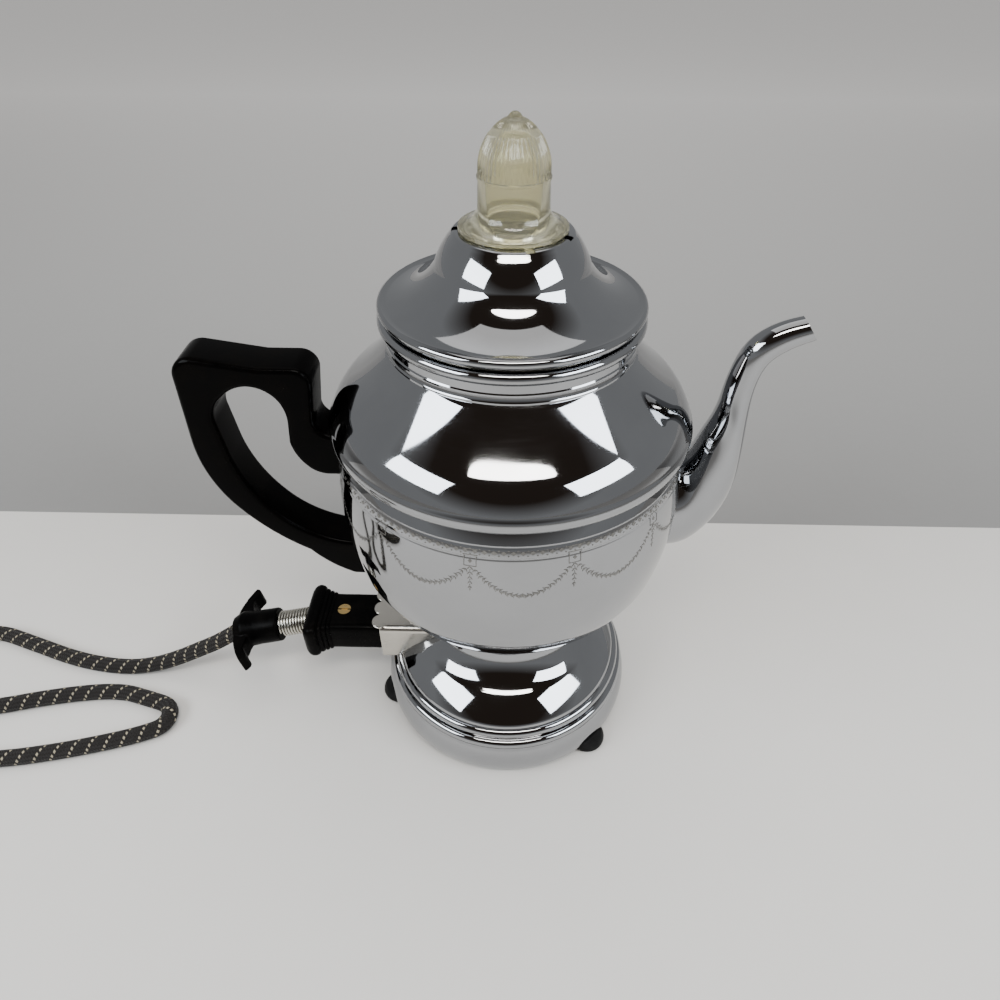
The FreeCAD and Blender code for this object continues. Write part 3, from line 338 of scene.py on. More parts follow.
def drilled(name, mesh, cutter):
    """The mesh less the cutter's shape."""
    tool = bpy.data.objects.new(name + "_cutter", cutter)
    bpy.context.scene.collection.objects.link(tool)
    made = worked(name, mesh, ("BOOLEAN", {"operation": "DIFFERENCE", "solver": "EXACT", "object": tool}))
    bpy.data.objects.remove(tool)
    return made


# ---------------------------------------------------------------- finishes

class Finish:
    """A material under construction: its tree, its shader and small helpers."""

    def __init__(self, name, **sockets):
        self.material = bpy.data.materials.new(name)
        self.material.use_nodes = True
        self.tree = self.material.node_tree
        self.shader = self.tree.nodes["Principled BSDF"]
        for label, number in sockets.items():
            self.shader.inputs[label.replace("_", " ")].default_value = number
        self.place = self.tree.nodes.new("ShaderNodeTexCoord").outputs["Object"]

    def node(self, kind, *links, **settings):
        made = self.tree.nodes.new(kind)
        for key, setting in settings.items():
            if hasattr(made, key):
                setattr(made, key, setting)
            else:
                made.inputs[key.replace("_", " ")].default_value = setting
        for n, link in enumerate(links):
            if link is None:
                continue
            if isinstance(link, (int, float)):
                made.inputs[n].default_value = link
            else:
                self.tree.links.new(link, made.inputs[n])
        return made

    def math(self, operation, first, second=None, third=None):
        return self.node("ShaderNodeMath", first, second, third, operation=operation).outputs[0]

    def noise(self, scale, detail=3.0, place=None, roughness=0.55):
        return self.node("ShaderNodeTexNoise", place or self.place, Scale=scale, Detail=detail,
                         Roughness=roughness).outputs["Fac"]

    def ranged(self, source, low, high, from_low=0.3, from_high=0.7):
        made = self.node("ShaderNodeMapRange", source)
        for label, number in zip(("From Min", "From Max", "To Min", "To Max"),
                                 (from_low, from_high, low, high)):
            made.inputs[label].default_value = number
        return made.outputs[0]

    def mixed(self, factor, first, second):
        made = self.node("ShaderNodeMix", data_type="RGBA")
        self.tree.links.new(factor, made.inputs[0])
        for index, colour in ((6, first), (7, second)):
            if isinstance(colour, (tuple, list)):
                made.inputs[index].default_value = (*colour, 1.0)
            else:
                self.tree.links.new(colour, made.inputs[index])
        return made.outputs[2]

    def colour(self, output):
        self.tree.links.new(output, self.shader.inputs["Base Color"])

    def rough(self, output):
        self.tree.links.new(output, self.shader.inputs["Roughness"])

    def bump(self, height, strength, distance):
        made = self.node("ShaderNodeBump", Strength=strength, Distance=distance)
        self.tree.links.new(height, made.inputs["Height"])
        self.tree.links.new(made.outputs[0], self.shader.inputs["Normal"])


def shade(colour, factor):
    return tuple(min(1.0, channel * factor) for channel in colour)


def plated(name, colour, smooth, worn, tarnish):
    """Polished plate: cloudy wipe marks, faint hairlines round the axis and a little tarnish."""
    skin = Finish(name, Metallic=1.0)
    cloud = skin.noise(38.0, 4.0)
    skin.colour(skin.mixed(skin.ranged(cloud, 0.0, 1.0, 0.35, 0.8), colour, shade(colour, tarnish)))
    stretched = skin.node("ShaderNodeMapping", skin.place, Scale=(120.0, 120.0, 2600.0)).outputs[0]
    hair = skin.noise(1.0, 2.0, stretched)
    wear = skin.math("ADD", skin.math("MULTIPLY", hair, 0.4), cloud)
    skin.rough(skin.ranged(wear, smooth, worn, 0.5, 1.05))
    skin.bump(skin.noise(2400.0, 2.0), 0.05, 0.00002)
    return skin.material


def spun_metal(name, colour):
    """Spun aluminium: fine rings left by the tool, softly frosted."""
    skin = Finish(name, Metallic=1.0)
    rings = skin.node("ShaderNodeMapping", skin.place, Scale=(60.0, 60.0, 3800.0)).outputs[0]
    lines = skin.noise(1.0, 3.0, rings)
    skin.colour(skin.mixed(skin.ranged(skin.noise(55.0), 0.0, 1.0), colour, shade(colour, 0.82)))
    skin.rough(skin.ranged(lines, 0.24, 0.42))
    skin.bump(lines, 0.12, 0.00003)
    return skin.material


def phenolic(name, colour, smooth=0.12, worn=0.3, mottle=1.8):
    """Black moulding: glossy, with cloudy wear and a faint brown mottle."""
    skin = Finish(name, Specular_IOR_Level=0.03)
    brown = (colour[0] * mottle + 0.0006, colour[1] * mottle + 0.0003, colour[2] * mottle)
    cloud = skin.noise(90.0, 4.0)
    skin.colour(skin.mixed(skin.ranged(cloud, 0.0, 1.0, 0.45, 0.75), colour, brown))
    skin.rough(skin.ranged(skin.noise(220.0, 5.0), smooth, worn))
    skin.bump(skin.noise(900.0, 3.0), 0.08, 0.00006)
    return skin.material


def glassy():
    """Old pressed glass: faintly yellow, with ripples from the mould."""
    skin = Finish("pressed_glass", Transmission_Weight=0.93, IOR=1.45)
    tint = skin.noise(40.0, 2.0)
    skin.colour(skin.mixed(skin.ranged(tint, 0.0, 1.0), (0.88, 0.85, 0.64), (0.82, 0.78, 0.56)))
    skin.rough(skin.ranged(skin.noise(300.0, 2.0), 0.06, 0.13))
    skin.bump(skin.noise(160.0, 1.0), 0.1, 0.0002)
    return skin.material


def braided():
    """Cloth braid: two crossing sets of strands, with pale tracer threads among the dark ones."""
    colours = bpy.context.scene.percolator_colours
    skin = Finish("cloth_braid", Sheen_Weight=0.06, Sheen_Roughness=0.5, Specular_IOR_Level=0.12)
    layer = skin.node("ShaderNodeUVMap", uv_map="Braid").outputs[0]
    axes = skin.node("ShaderNodeSeparateXYZ", layer)
    lay_length, strands = 0.0165, 12.0
    along = skin.math("MULTIPLY", axes.outputs[0], 1 / lay_length)
    around = axes.outputs[1]
    left = skin.math("MULTIPLY", skin.math("ADD", along, around), strands)
    right = skin.math("MULTIPLY", skin.math("SUBTRACT", along, around), strands)
    crown_left = skin.math("ABSOLUTE", skin.math("SINE", skin.math("MULTIPLY", left, math.pi)))
    crown_right = skin.math("ABSOLUTE", skin.math("SINE", skin.math("MULTIPLY", right, math.pi)))
    column = skin.math("FLOOR", left)
    row = skin.math("FLOOR", skin.math("ADD", right, 4000.0))
    parity = skin.math("MODULO", skin.math("ADD", column, row), 2.0)
    over = skin.math("GREATER_THAN", skin.math("ABSOLUTE", parity), 0.5)
    height = skin.node("ShaderNodeMix", over, data_type="FLOAT")
    skin.tree.links.new(crown_left, height.inputs[2])
    skin.tree.links.new(crown_right, height.inputs[3])
    pick = skin.math("MODULO", skin.math("ADD", column, 6000.0), strands / 2)
    tracer = skin.math("MULTIPLY", skin.math("LESS_THAN", pick, 0.5), skin.math("SUBTRACT", 1.0, over))
    thread = skin.noise(1500.0, 3.0)
    ground = skin.mixed(skin.ranged(thread, 0.0, 1.0), tuple(colours.braid), shade(colours.braid, 2.3))
    pale = skin.mixed(skin.ranged(thread, 0.0, 1.0), tuple(colours.tracer), shade(colours.tracer, 0.6))
    skin.colour(skin.mixed(tracer, ground, pale))
    skin.rough(skin.ranged(thread, 0.68, 0.9))
    skin.bump(skin.math("ADD", height.outputs[0], skin.math("MULTIPLY", thread, 0.5)), 0.8, 0.0005)
    return skin.material


def make_finishes():
    colours = bpy.context.scene.percolator_colours
    black = tuple(colours.moulding)
    made = {
        "chrome": plated("chrome_plate", tuple(colours.chrome), 0.02, 0.09, 0.9),
        "nickel": plated("nickel_plate", tuple(colours.nickel), 0.16, 0.34, 0.75),
        "plate_steel": plated("plated_steel", (0.56, 0.55, 0.53), 0.25, 0.45, 0.7),
        "spring_steel": plated("spring_wire", (0.60, 0.58, 0.52), 0.18, 0.34, 0.7),
        "brass": plated("brass", (0.66, 0.47, 0.20), 0.22, 0.42, 0.6),
        "engraved": plated("engraved_plate", (0.24, 0.235, 0.225), 0.38, 0.55, 0.6),
        "aluminium": spun_metal("spun_aluminium", (0.80, 0.80, 0.79)),
        "ebonised": phenolic("ebonised_handle", (0.0008, 0.0007, 0.0007), 0.10, 0.26, 1.4),
        "bakelite": phenolic("moulded_black", black, 0.2, 0.42, 2.2),
        "foot_black": phenolic("foot_black", (0.010, 0.010, 0.010), 0.12, 0.34),
        "insulator": phenolic("glazed_block", (0.66, 0.63, 0.55), 0.2, 0.4, 0.95),
        "cast_core": phenolic("cast_core", (0.07, 0.065, 0.06), 0.6, 0.85, 1.3),
        "clear_glass": glassy(),
        "cloth_braid": braided(),
    }
    tape = Finish("cotton_tape", Sheen_Weight=0.3)
    weave = tape.node("ShaderNodeTexWave", tape.place, Scale=900.0, Distortion=0.6, wave_type="BANDS",
                      bands_direction="DIAGONAL").outputs["Fac"]
    tape.colour(tape.mixed(weave, (0.02, 0.02, 0.02), (0.06, 0.058, 0.055)))
    tape.rough(tape.ranged(weave, 0.7, 0.9))
    tape.bump(weave, 0.5, 0.0002)
    made["tie_cloth"] = tape.material
    return made


FINISHES = {}


def finish(slot):
    """The material of a slot; all are made together the first time one is asked for."""
    if not FINISHES:
        FINISHES.update(make_finishes())
    return FINISHES[slot]


def dress(*nodes):
    """Gives carried-over CAD nodes the material of their record slot."""
    slots = {row["node"]: row["material_slot"] for row in frame["record"]["subparts"]}
    for node in nodes:
        mesh_object = frame["nodes"][node]
        for place in mesh_object.material_slots:
            place.material = finish(slots[node])


# ---------------------------------------------------------------- camera, lights and floor

def stage_plane(name, near, far, height, colour, far_painted_light=1.0, reach=0.9):
    """A matt sheet from near to far along Y. Its colour goes from its own tone at the seam to the far factor
    times it at reach. That ramp is painted light: darker at the seam and lighter away from it, in place of
    how a wall is lit.
    """
    wide = 12.0
    corners = [(-wide, near, height), (wide, near, height), (wide, far, height), (-wide, far, height)]
    mesh = mesh_of(name, corners, [(0, 1, 2, 3)])
    skin = Finish(name, Specular_IOR_Level=0.15)
    spot = skin.mixed(skin.ranged(skin.noise(30.0, 4.0), 0.0, 1.0), shade(colour, 0.985), colour)
    depth = skin.node("ShaderNodeSeparateXYZ", skin.place).outputs[1]
    # Painted light: the sheet's colour ramps between the seam and reach by the far factor, so lamps don't
    # have to light it that way.
    skin.colour(skin.mixed(skin.ranged(depth, 0.0, 1.0, SEAM, reach), spot, shade(colour, far_painted_light)))
    skin.rough(skin.ranged(skin.noise(180.0, 2.0), 0.75, 0.9))
    mesh.materials.append(skin.material)
    plane = bpy.data.objects.new(name, mesh)
    bpy.context.scene.collection.objects.link(plane)


def soft_light(name, place, aim, width, height, power, colour, shape="RECTANGLE"):
    light = bpy.data.lights.new(name, "AREA")
    light.shape = shape
    light.size = width
    light.size_y = height
    light.energy = power
    light.color = colour
    lamp = bpy.data.objects.new(name, light)
    lamp.location = place
    lamp.rotation_euler = (Vector(aim) - Vector(place)).to_track_quat("-Z", "Y").to_euler()
    bpy.context.scene.collection.objects.link(lamp)


class PERCOLATOR_OT_stage(bpy.types.Operator):
    """Camera, lights, floor and backdrop"""
    bl_idname = "percolator.stage"
    bl_label = "Stage"

    def execute(self, context):
        self.camera(context.scene)
        self.sheets(context.scene.percolator_colours)
        self.lights(context.scene)
        self.room(context.scene)
        return {"FINISHED"}

    def camera(self, scene):
        pitch, yaw, roll = 0.7187, -0.017, 0.0053
        stand = (AXIS_X, -0.2383, 0.3384)
        lens = bpy.data.cameras.new("view")
        lens.sensor_width = 36.0
        lens.lens = 24.95
        lens.clip_start = 0.01
        camera = bpy.data.objects.new("view", lens)
        ahead = Vector((math.cos(pitch) * math.sin(yaw), math.cos(pitch) * math.cos(yaw), -math.sin(pitch)))
        level = Vector((math.cos(yaw), -math.sin(yaw), 0.0))
        above = level.cross(ahead)
        right = level * math.cos(roll) + above * math.sin(roll)
        up = above * math.cos(roll) - level * math.sin(roll)
        facing = Matrix((right, up, -ahead)).transposed().to_4x4()
        camera.matrix_world = Matrix.Translation(stand) @ facing
        scene.collection.objects.link(camera)
        scene.camera = camera

    def sheets(self, colours):
        far = 12.0
        stage_plane("floor", -far, SEAM, 0, tuple(colours.floor))
        # The backdrop is painted shade at the seam and painted light towards its far edge, up to 3.6 times
        # lighter, standing in for a lit wall.
        stage_plane("backdrop", SEAM, far, -0.0002, tuple(colours.backdrop), far_painted_light=3.6, reach=1.5)

    def lights(self, scene):
        middle = (AXIS_X, 0.0, 0.16)
        cool, neutral, warm = (0.90, 0.95, 1.0), (1.0, 0.98, 0.95), (1.0, 0.96, 0.90)
        soft_light("panel_left", (-0.68, -0.42, 0.66), middle, 0.60, 0.36, 8.0, cool)
        soft_light("panel_right", (0.70, -0.42, 0.66), middle, 0.60, 0.36, 8.0, cool)
        soft_light("overhead", (0.0, 0.25, 1.3), (0, 0, 0), 0.9, 0.9, 3.0, neutral)
        soft_light("window", (0.03, -0.42, 0.92), (0.01, 0, 0.2), 0.62, 0.15, 4.4, warm, "ELLIPSE")
        sun = bpy.data.lights.new("sky_fill", "SUN")
        sun.energy = 1.1
        sun.angle = math.radians(70)
        fill = bpy.data.objects.new("sky_fill", sun)
        fill.rotation_euler = (math.radians(-12), math.radians(8), 0)
        fill.visible_glossy = False
        scene.collection.objects.link(fill)

    def room(self, scene):
        """A pale room with a dark ceiling patch, which the plate reflects."""
        world = bpy.data.worlds.new("room")
        world.use_nodes = True
        tree = world.node_tree
        sky = tree.nodes["Background"]
        place = tree.nodes.new("ShaderNodeTexCoord")
        aim = tree.nodes.new("ShaderNodeVectorMath")
        aim.operation = "DOT_PRODUCT"
        aim.inputs[1].default_value = Vector((0.0, -0.5, 0.85)).normalized()
        ramp = tree.nodes.new("ShaderNodeValToRGB")
        tree.links.new(place.outputs["Generated"], aim.inputs[0])
        tree.links.new(aim.outputs["Value"], ramp.inputs[0])
        tree.links.new(ramp.outputs[0], sky.inputs["Color"])
        steps = ((0.50, (0.37, 0.375, 0.38, 1)), (0.80, (0.040, 0.030, 0.024, 1)))
        for element, (position, colour) in zip(ramp.color_ramp.elements, steps):
            element.position = position
            element.color = colour
        sky.inputs["Strength"].default_value = 1.0
        scene.world = world


# ---------------------------------------------------------------- cord, coil and tie

CORD_START = (PLUG_END - 39.25, -3.43, PIN_HEIGHT - 6.24)
FLOOR_RUN = 4.25
COIL_CENTRE = (-330.0, -110.0)
COIL_TURNS = 4.25
WALL_PLUG = (-386.0, -145.0, 14.0)


def cord_points(turn_points):
    """The cord's spline points: from the finger grip, along the floor, round the coil, to the wall plug."""
    low = FLOOR_RUN
    route = [CORD_START, (-158, -4.4, 27), (-171, -4.4, 19.5), (-185, -4.6, 11.5), (-200, -6, 6),
             (-218, -7.3, low), (-246, -3, low), (-278, 8, low), (-308, 18, low), (-336, 8, low),
             (-338, -20, low), (-316, -37, low), (-284, -36, low), (-248, -26.5, low), (-215, -22, low),
             (-195, -27.5, low), (-181.5, -31.5, low), (-180.5, -43, low), (-192, -48.5, low),
             (-208, -53.5, low), (-234, -60, low), (-264, -65, low), (-290, -63, low)]
    rows = [(52.25, 4.3), (43.75, 4.3), (43.75, 12.7), (52.25, 12.7), (52.25, 12.75)]
    bulge = 1 / math.cos(math.pi / turn_points)
    for n in range(1, round(COIL_TURNS * turn_points) + 1):
        turn, part = divmod(n / turn_points, 1.0)
        ease = min(max((part - 0.8) / 0.2, 0.0), 1.0)
        (radius, height), (next_radius, next_height) = rows[int(turn)], rows[min(int(turn) + 1, 4)]
        reach = (radius + (next_radius - radius) * ease) * bulge
        angle = math.pi / 2 + 2 * math.pi * n / turn_points
        route.append((COIL_CENTRE[0] + reach * math.cos(angle), COIL_CENTRE[1] + reach * math.sin(angle),
                      height + (next_height - height) * ease))
    route += [(-383.05, -129, 13.25), (-386, -138, 13.7), WALL_PLUG]
    return [at(*point) for point in route]


def smooth_route(name, points):
    """The points a NURBS spline of order 3 gives for a route."""
    curve = bpy.data.curves.new(name, "CURVE")
    curve.dimensions = "3D"
    spline = curve.splines.new("NURBS")
    spline.points.add(len(points) - 1)
    for knot, point in zip(spline.points, points):
        knot.co = (*point, 1.0)
    spline.order_u = 3
    spline.use_endpoint_u = True
    spline.resolution_u = 6
    carrier = bpy.data.objects.new(name, curve)
    bpy.context.scene.collection.objects.link(carrier)
    path = [vertex.co.copy() for vertex in plain_mesh(name, carrier).vertices]
    kept = [path[0]]
    for point in path[1:]:
        if (point - kept[-1]).length > 1e-6:
            kept.append(point)
    return kept


class PERCOLATOR_OT_cord(bpy.types.Operator):
    """Cloth-covered cord with its stored coil, the tape that ties it, and the wall plug"""
    bl_idname = "percolator.cord"
    bl_label = "Cord and wall plug"

    def execute(self, context):
        sizes = context.scene.percolator_sizes
        path = smooth_route("cord_route", cord_points(sizes.coil_points))
        radius, sides = sizes.cord_diameter / 2, sizes.cord_sides
        braid = finish("cloth_braid")
        cord = set_piece("heater_cord", ribbon_tube("heater_cord", path, radius, sides), "cord_set", braid,
                         "cloth_braid", "cord", "cord_coil", "cord_tail")
        tie = self.tie()
        cap = self.cap()
        start = at(*CORD_START)
        toward = (at(PLUG_END, 0, PIN_HEIGHT) - start).normalized()
        inner = [start + toward * step * 0.002 for step in range(23)]
        set_piece("cord_in_guard", ribbon_tube("cord_in_guard", inner, radius - 0.0001, sides), "cord_set",
                  braid, "cloth_braid", "cord_in_guard")
        dress("wall_plug_blades")
        return {"FINISHED"}

    def tie(self):
        """Tape round the coil's turns, on the coil's near side."""
        x, y = COIL_CENTRE[0], COIL_CENTRE[1] - 48.0
        reach, round_off = 8.9, 4.6
        coil_middle, lowest = 8.6, 0.1
        line = []
        for corner in range(4):
            middle = math.pi / 2 * corner + math.pi / 4
            centre = Vector((math.copysign(reach - round_off, math.cos(middle)),
                             math.copysign(reach - round_off, math.sin(middle))))
            for k in range(7):
                angle = math.pi / 2 * corner + math.pi / 2 * k / 6
                line.append(centre + Vector((math.cos(angle), math.sin(angle))) * round_off)
        verts, faces = [], []
        rows = [(-4.6, 0.0), (-5.0, 0.35), (-4.6, 0.7), (4.6, 0.7), (5.0, 0.35), (4.6, 0.0)]
        for across, out in rows:
            for point in line:
                spread = point + point.normalized() * out
                verts.append(at(x + across, y + spread.x, max(spread.y + coil_middle, lowest)))
        for r in range(len(rows)):
            for k in range(len(line)):
                a, b = r * len(line) + k, r * len(line) + (k + 1) % len(line)
                c, d = (b + len(line)) % len(verts), (a + len(line)) % len(verts)
                faces.append((a, b, c, d))
        mesh = tidied(mesh_of("coil_tie", verts, faces), 60)
        return set_piece("tape_tie", mesh, "cord_set", finish("tie_cloth"), "tie_cloth", "coil_tie")

    def cap(self):
        """Moulded wall plug with grip rings and a short sleeve for the cord."""
        outline = [(0.0, 0.0), (6.0, 0.0), (6.6, 0.6), (7.4, 4.6, 9.0, 1), (13.2, 9.6), (14.0, 10.6)]
        for ring in range(3):
            low = 12.0 + 2.6 * ring
            outline += [(14.0, low), (13.4, low + 0.4), (13.4, low + 1.0), (14.0, low + 1.4)]
        outline += [(14.0, 21.2), (13.2, 22.0), (0.0, 22.0)]
        place = Matrix.Translation(at(*WALL_PLUG)) @ Matrix.Rotation(math.pi / 2, 4, "X")
        mesh = turned("wall_plug", traced(outline, 0.5, closed=True), place, 64)
        return set_piece("wall_plug", mesh, "cord_set", finish("bakelite"), "bakelite", "wall_plug_body")


# ---------------------------------------------------------------- spun shells

POT_LINE = [
    (33.0, WAIST, 75.0, -1), (50.6, 84.6, 75.0, 1), (69.8, 114.0, 125.0, 1), (71.3, 163.9), (71.1, 164.2),
    (71.05, 164.8), (71.2, 165.1), (70.45, 168.9), (70.2, 169.2), (70.1, 169.8), (70.2, 170.1), (69.0, 172.4),
    (68.0, 174.0, 4.0, -1), (71.6, 177.2, 4.6, 1), (71.9, 183.5, 26.0, 1), (63.9, 195.0, 120.0, -1),
    (47.8, 211.0), (47.0, 211.8, 0.9, 1), (47.0, 213.4), (46.8, 214.8, 0.9, 1), (46.8, 216.4),
    (46.6, 219.2), (47.7, 220.0, 2.35, 1), (47.7, RIM_TOP),
]
PEDESTAL_LINE = [
    (33.0, WAIST, 24.0, 1), (45.5, 43.0, 60.0, -1), (57.0, 33.4), (57.6, 31.8, 2.8, -1), (60.2, 27.8),
    (60.1, 26.4, 2.8, -1), (62.6, 22.4), (62.6, 20.4, 18.0, -1), (64.8, 7.0),
]


class PERCOLATOR_OT_shells(bpy.types.Operator):
    """Spun bowl and pedestal with their ridges and beads"""
    bl_idname = "percolator.shells"
    bl_label = "Bowl and pedestal"

    def execute(self, context):
        rim_from, bore = 211.5, 17.1
        inner_foot = WAIST + SHELL_WALL
        outer = traced(POT_LINE)
        wall = inset(outer, SHELL_WALL)
        wall[-1] = Vector((RIM_BORE, RIM_TOP))
        wall[-2] = Vector((RIM_BORE, 222.0))
        wall = [Vector((RIM_BORE, point.y)) if point.y > rim_from else point for point in wall]
        wall = [point for n, point in enumerate(wall) if n == 0 or point.y > wall[n - 1].y - 0.4]
        wall[0] = Vector((32.4, inner_foot))
        closed = [Vector((bore, WAIST))] + outer + wall[::-1] + [Vector((bore, inner_foot))]
        set_piece("bowl", turned("bowl", closed), "pot", finish("chrome"), "chrome", "body_shell")
        outer = traced(PEDESTAL_LINE)[::-1]
        wall = inset(outer, SHELL_WALL)
        top = [Vector((32.9, WAIST)), Vector((18.0, WAIST)), Vector((18.0, WAIST - SHELL_WALL))]
        shell = turned("pedestal_shell", outer + top + wall[::-1])
        window = boxes("window", [Matrix.Translation(at(-50, 0, PIN_HEIGHT))
                                  @ Matrix.Diagonal((0.04, 0.0268, 0.0154, 1.0))])
        shell = drilled("pedestal_shell", shell, window)
        shaded(shell)
        set_piece("pedestal_shell", shell, "pot", finish("chrome"), "chrome", "pedestal")
        dress("bottom_plate", "heater_well", "heating_core", "clamp_plate", "tie_rod", "base_nut",
              "foot_screws", "pin_block", "terminal_pins")
        return {"FINISHED"}


def bowl_radius_at(height):
    """Outer radius of the bowl at a height, in millimetres."""
    line = traced(POT_LINE)
    for low, high in zip(line, line[1:]):
        if low.y <= height <= high.y and high.y > low.y:
            return low.x + (high.x - low.x) * (height - low.y) / (high.y - low.y)
    raise RuntimeError(f"the bowl has no height {height}")


def pot_solid(shift):
    """The bowl filled in, with its outside moved by shift millimetres, to cut what meets it."""
    side = [point + Vector((shift, 0)) for point in traced(POT_LINE)]
    return turned("pot_outline", [Vector((0.0, WAIST))] + side + [Vector((0.0, RIM_TOP))])


BAND_RADIUS = 71.5


def garland_repeat(half_angle):
    """One repeat of the engraving, centred on the X axis: a leafy swag, half pendants and a chain band."""
    verts, faces = [], []
    lift = 0.07

    def shape(s, z, heading, outline):
        first = len(verts)
        lean = math.radians(heading)
        for along, across in outline:
            ds = along * math.cos(lean) - across * math.sin(lean)
            height = z + along * math.sin(lean) + across * math.cos(lean)
            radius = bowl_radius_at(height) + lift
            angle = (s + ds) / BAND_RADIUS
            verts.append(Vector((radius * math.cos(angle), radius * math.sin(angle), height)) * MM)
        faces.append(tuple(range(first, len(verts))))

    def leaf(s, z, heading, length, width):
        shape(s, z, heading, [(0, 0), (length * 0.3, -width / 2), (length * 0.7, -width * 0.38), (length, 0),
                              (length * 0.7, width * 0.38), (length * 0.3, width / 2)])

    def lozenge(s, z, wide, tall):
        shape(s, z, 0, [(-wide / 2, 0), (0, -tall / 2), (wide / 2, 0), (0, tall / 2)])

    def bar(s, z, wide, tall):
        shape(s, z, 0, [(-wide / 2, -tall / 2), (wide / 2, -tall / 2), (wide / 2, tall / 2),
                        (-wide / 2, tall / 2)])

    half = half_angle * BAND_RADIUS
    top, bottom = 161.5, 147.8
    count = 36
    for n in range(count):
        s = (n / (count - 1) * 2 - 1) * (half - 1.6)
        z = bottom + (top - bottom) * (s / half) ** 2
        slope = math.degrees(math.atan2(2 * (top - bottom) * s / half ** 2, 1.0))
        ahead = slope if s <= 0 else slope + 180
        sway = 15 if n % 2 else -15
        for spread in (-48, 48):
            leaf(s, z, ahead + spread + sway, 1.6, 0.42)
        leaf(s, z, ahead + sway, 1.15, 0.36)
    for n in range(5):
        drop = 160.4 - 2.3 * n
        for spread in (-128, -52):
            leaf(half, drop, spread, 2.0 - 0.2 * n, 0.5)
        leaf(half, drop - 1.1, -90, 1.1, 0.36)
    leaf(half, 150.6, -90, 1.8, 0.5)
    square_middle, line = 162.9, 0.3
    lozenge(half, square_middle, 1.6, 1.8)
    for ds, dz, wide, tall in ((-2.2, 0, line, 4.6), (2.2, 0, line, 4.6), (0, -2.2, 4.4, line)):
        bar(half + ds, square_middle + dz, wide, tall)
    for z in (168.0, 165.6):
        bar(half, z, 5.4, 0.35)
    cells = 11
    for n in range(cells):
        s = (n + 0.5) / cells * 2 * half - half
        lozenge(s, 167.2, 2.3, 1.9)
        lozenge(s + half / cells, 166.1, 0.8, 0.7)
        lozenge(s + half / cells, 168.2, 0.8, 0.7)
    return mesh_of("garland_repeat", verts, faces)


def ring_tree(material):
    """A node tree that repeats its own geometry in a ring about the pot's axis."""
    tree, entry = node_tree("Garland ring", (("Geometry", "Geometry"), ("Count", "Int"), ("Step", "Float"),
                                             ("First", "Float"), ("Axis", "Vector")))
    nodes, links = tree.nodes, tree.links
    line = nodes.new("GeometryNodeMeshLine")
    line.inputs["Offset"].default_value = (0.0, 0.0, 0.0)
    index = nodes.new("GeometryNodeInputIndex")
    angle = nodes.new("ShaderNodeMath")
    angle.operation = "MULTIPLY_ADD"
    turn = nodes.new("ShaderNodeCombineXYZ")
    copies = nodes.new("GeometryNodeInstanceOnPoints")
    links.new(entry["Count"], line.inputs["Count"])
    links.new(entry["Axis"], line.inputs["Start Location"])
    links.new(index.outputs[0], angle.inputs[0])
    links.new(entry["Step"], angle.inputs[1])
    links.new(entry["First"], angle.inputs[2])
    links.new(angle.outputs[0], turn.inputs[2])
    links.new(line.outputs[0], copies.inputs["Points"])
    links.new(entry["Geometry"], copies.inputs["Instance"])
    links.new(turn.outputs[0], copies.inputs["Rotation"])
    return end_tree(tree, copies.outputs[0], material)


class PERCOLATOR_OT_garland(bpy.types.Operator):
    """Engraved band of swags and pendants round the bowl"""
    bl_idname = "percolator.garland"
    bl_label = "Engraving"

    def execute(self, context):
        count = context.scene.percolator_sizes.garlands
        step = 2 * math.pi / count
        first_swag = math.radians(-85.7)
        mesh = grown("garland", ring_tree(finish("engraved")), garland_repeat(step / 2), Count=count,
                     Step=step, First=first_swag, Axis=tuple(at(0, 0, 0)))
        set_piece("engraved_garland", mesh, "pot", finish("engraved"), "chrome")
        return {"FINISHED"}


class PERCOLATOR_OT_feet(bpy.types.Operator):
    """Three round black feet"""
    bl_idname = "percolator.feet"
    bl_label = "Feet"

    def execute(self, context):
        outline = traced([(3.6, 0.0), (6.7, 0.0, 3.4, 1), (9.5, 3.5, 5.0, 1), (7.9, 7.0), (1.6, 7.0),
                          (1.6, 2.8), (3.6, 2.8)], 0.4, closed=True)
        foot_circle = 60.5
        for n in range(3):
            angle = math.radians(120 * n - 45)
            place = Matrix.Translation(at(foot_circle * math.cos(angle), foot_circle * math.sin(angle), 0))
            set_piece(f"foot_{n + 1}_moulded", turned(f"foot_{n + 1}", outline, place, 48), "pot",
                      finish("foot_black"), "foot_black", f"foot_{n + 1}")
        return {"FINISHED"}


# ---------------------------------------------------------------- lid and glass

class PERCOLATOR_OT_lid(bpy.types.Operator):
    """Domed lid with its beaded brim and the notched opening for the glass"""
    bl_idname = "percolator.lid"
    bl_label = "Lid"

    def execute(self, context):
        outline = traced([
            (45.8, 225.9), (47.8, 225.9, 1.75, 1), (47.8, 229.3), (46.1, 228.7, 26.0, -1),
            (27.8, 241.0, 30.0, 1), (21.6, 251.6, 1.6, 1), (20.0, 252.6), (16.4, 252.6), (16.2, 252.4),
            (16.2, 252.0), (16.4, 251.8),
            (20.0, 251.8), (26.8, 240.8, 25.0, 1), (44.5, 227.5), (45.8, 227.1)], closed=True)
        shell = turned("lid_dome", outline)
        notch = Matrix.Translation((0.0172, 0, 0)) @ Matrix.Diagonal((0.008, 0.0032, 0.005, 1))
        notches = boxes("notches", [
            Matrix.Translation(at(0, 0, 252)) @ Matrix.Rotation(math.radians(angle), 4, "Z") @ notch
            for angle in (180, -22, -74)])
        shell = drilled("lid_dome", shell, notches)
        shaded(shell)
        set_piece("lid_dome", shell, "lid", finish("chrome"), "chrome", "lid_shell")
        dress("lid_collar")
        return {"FINISHED"}


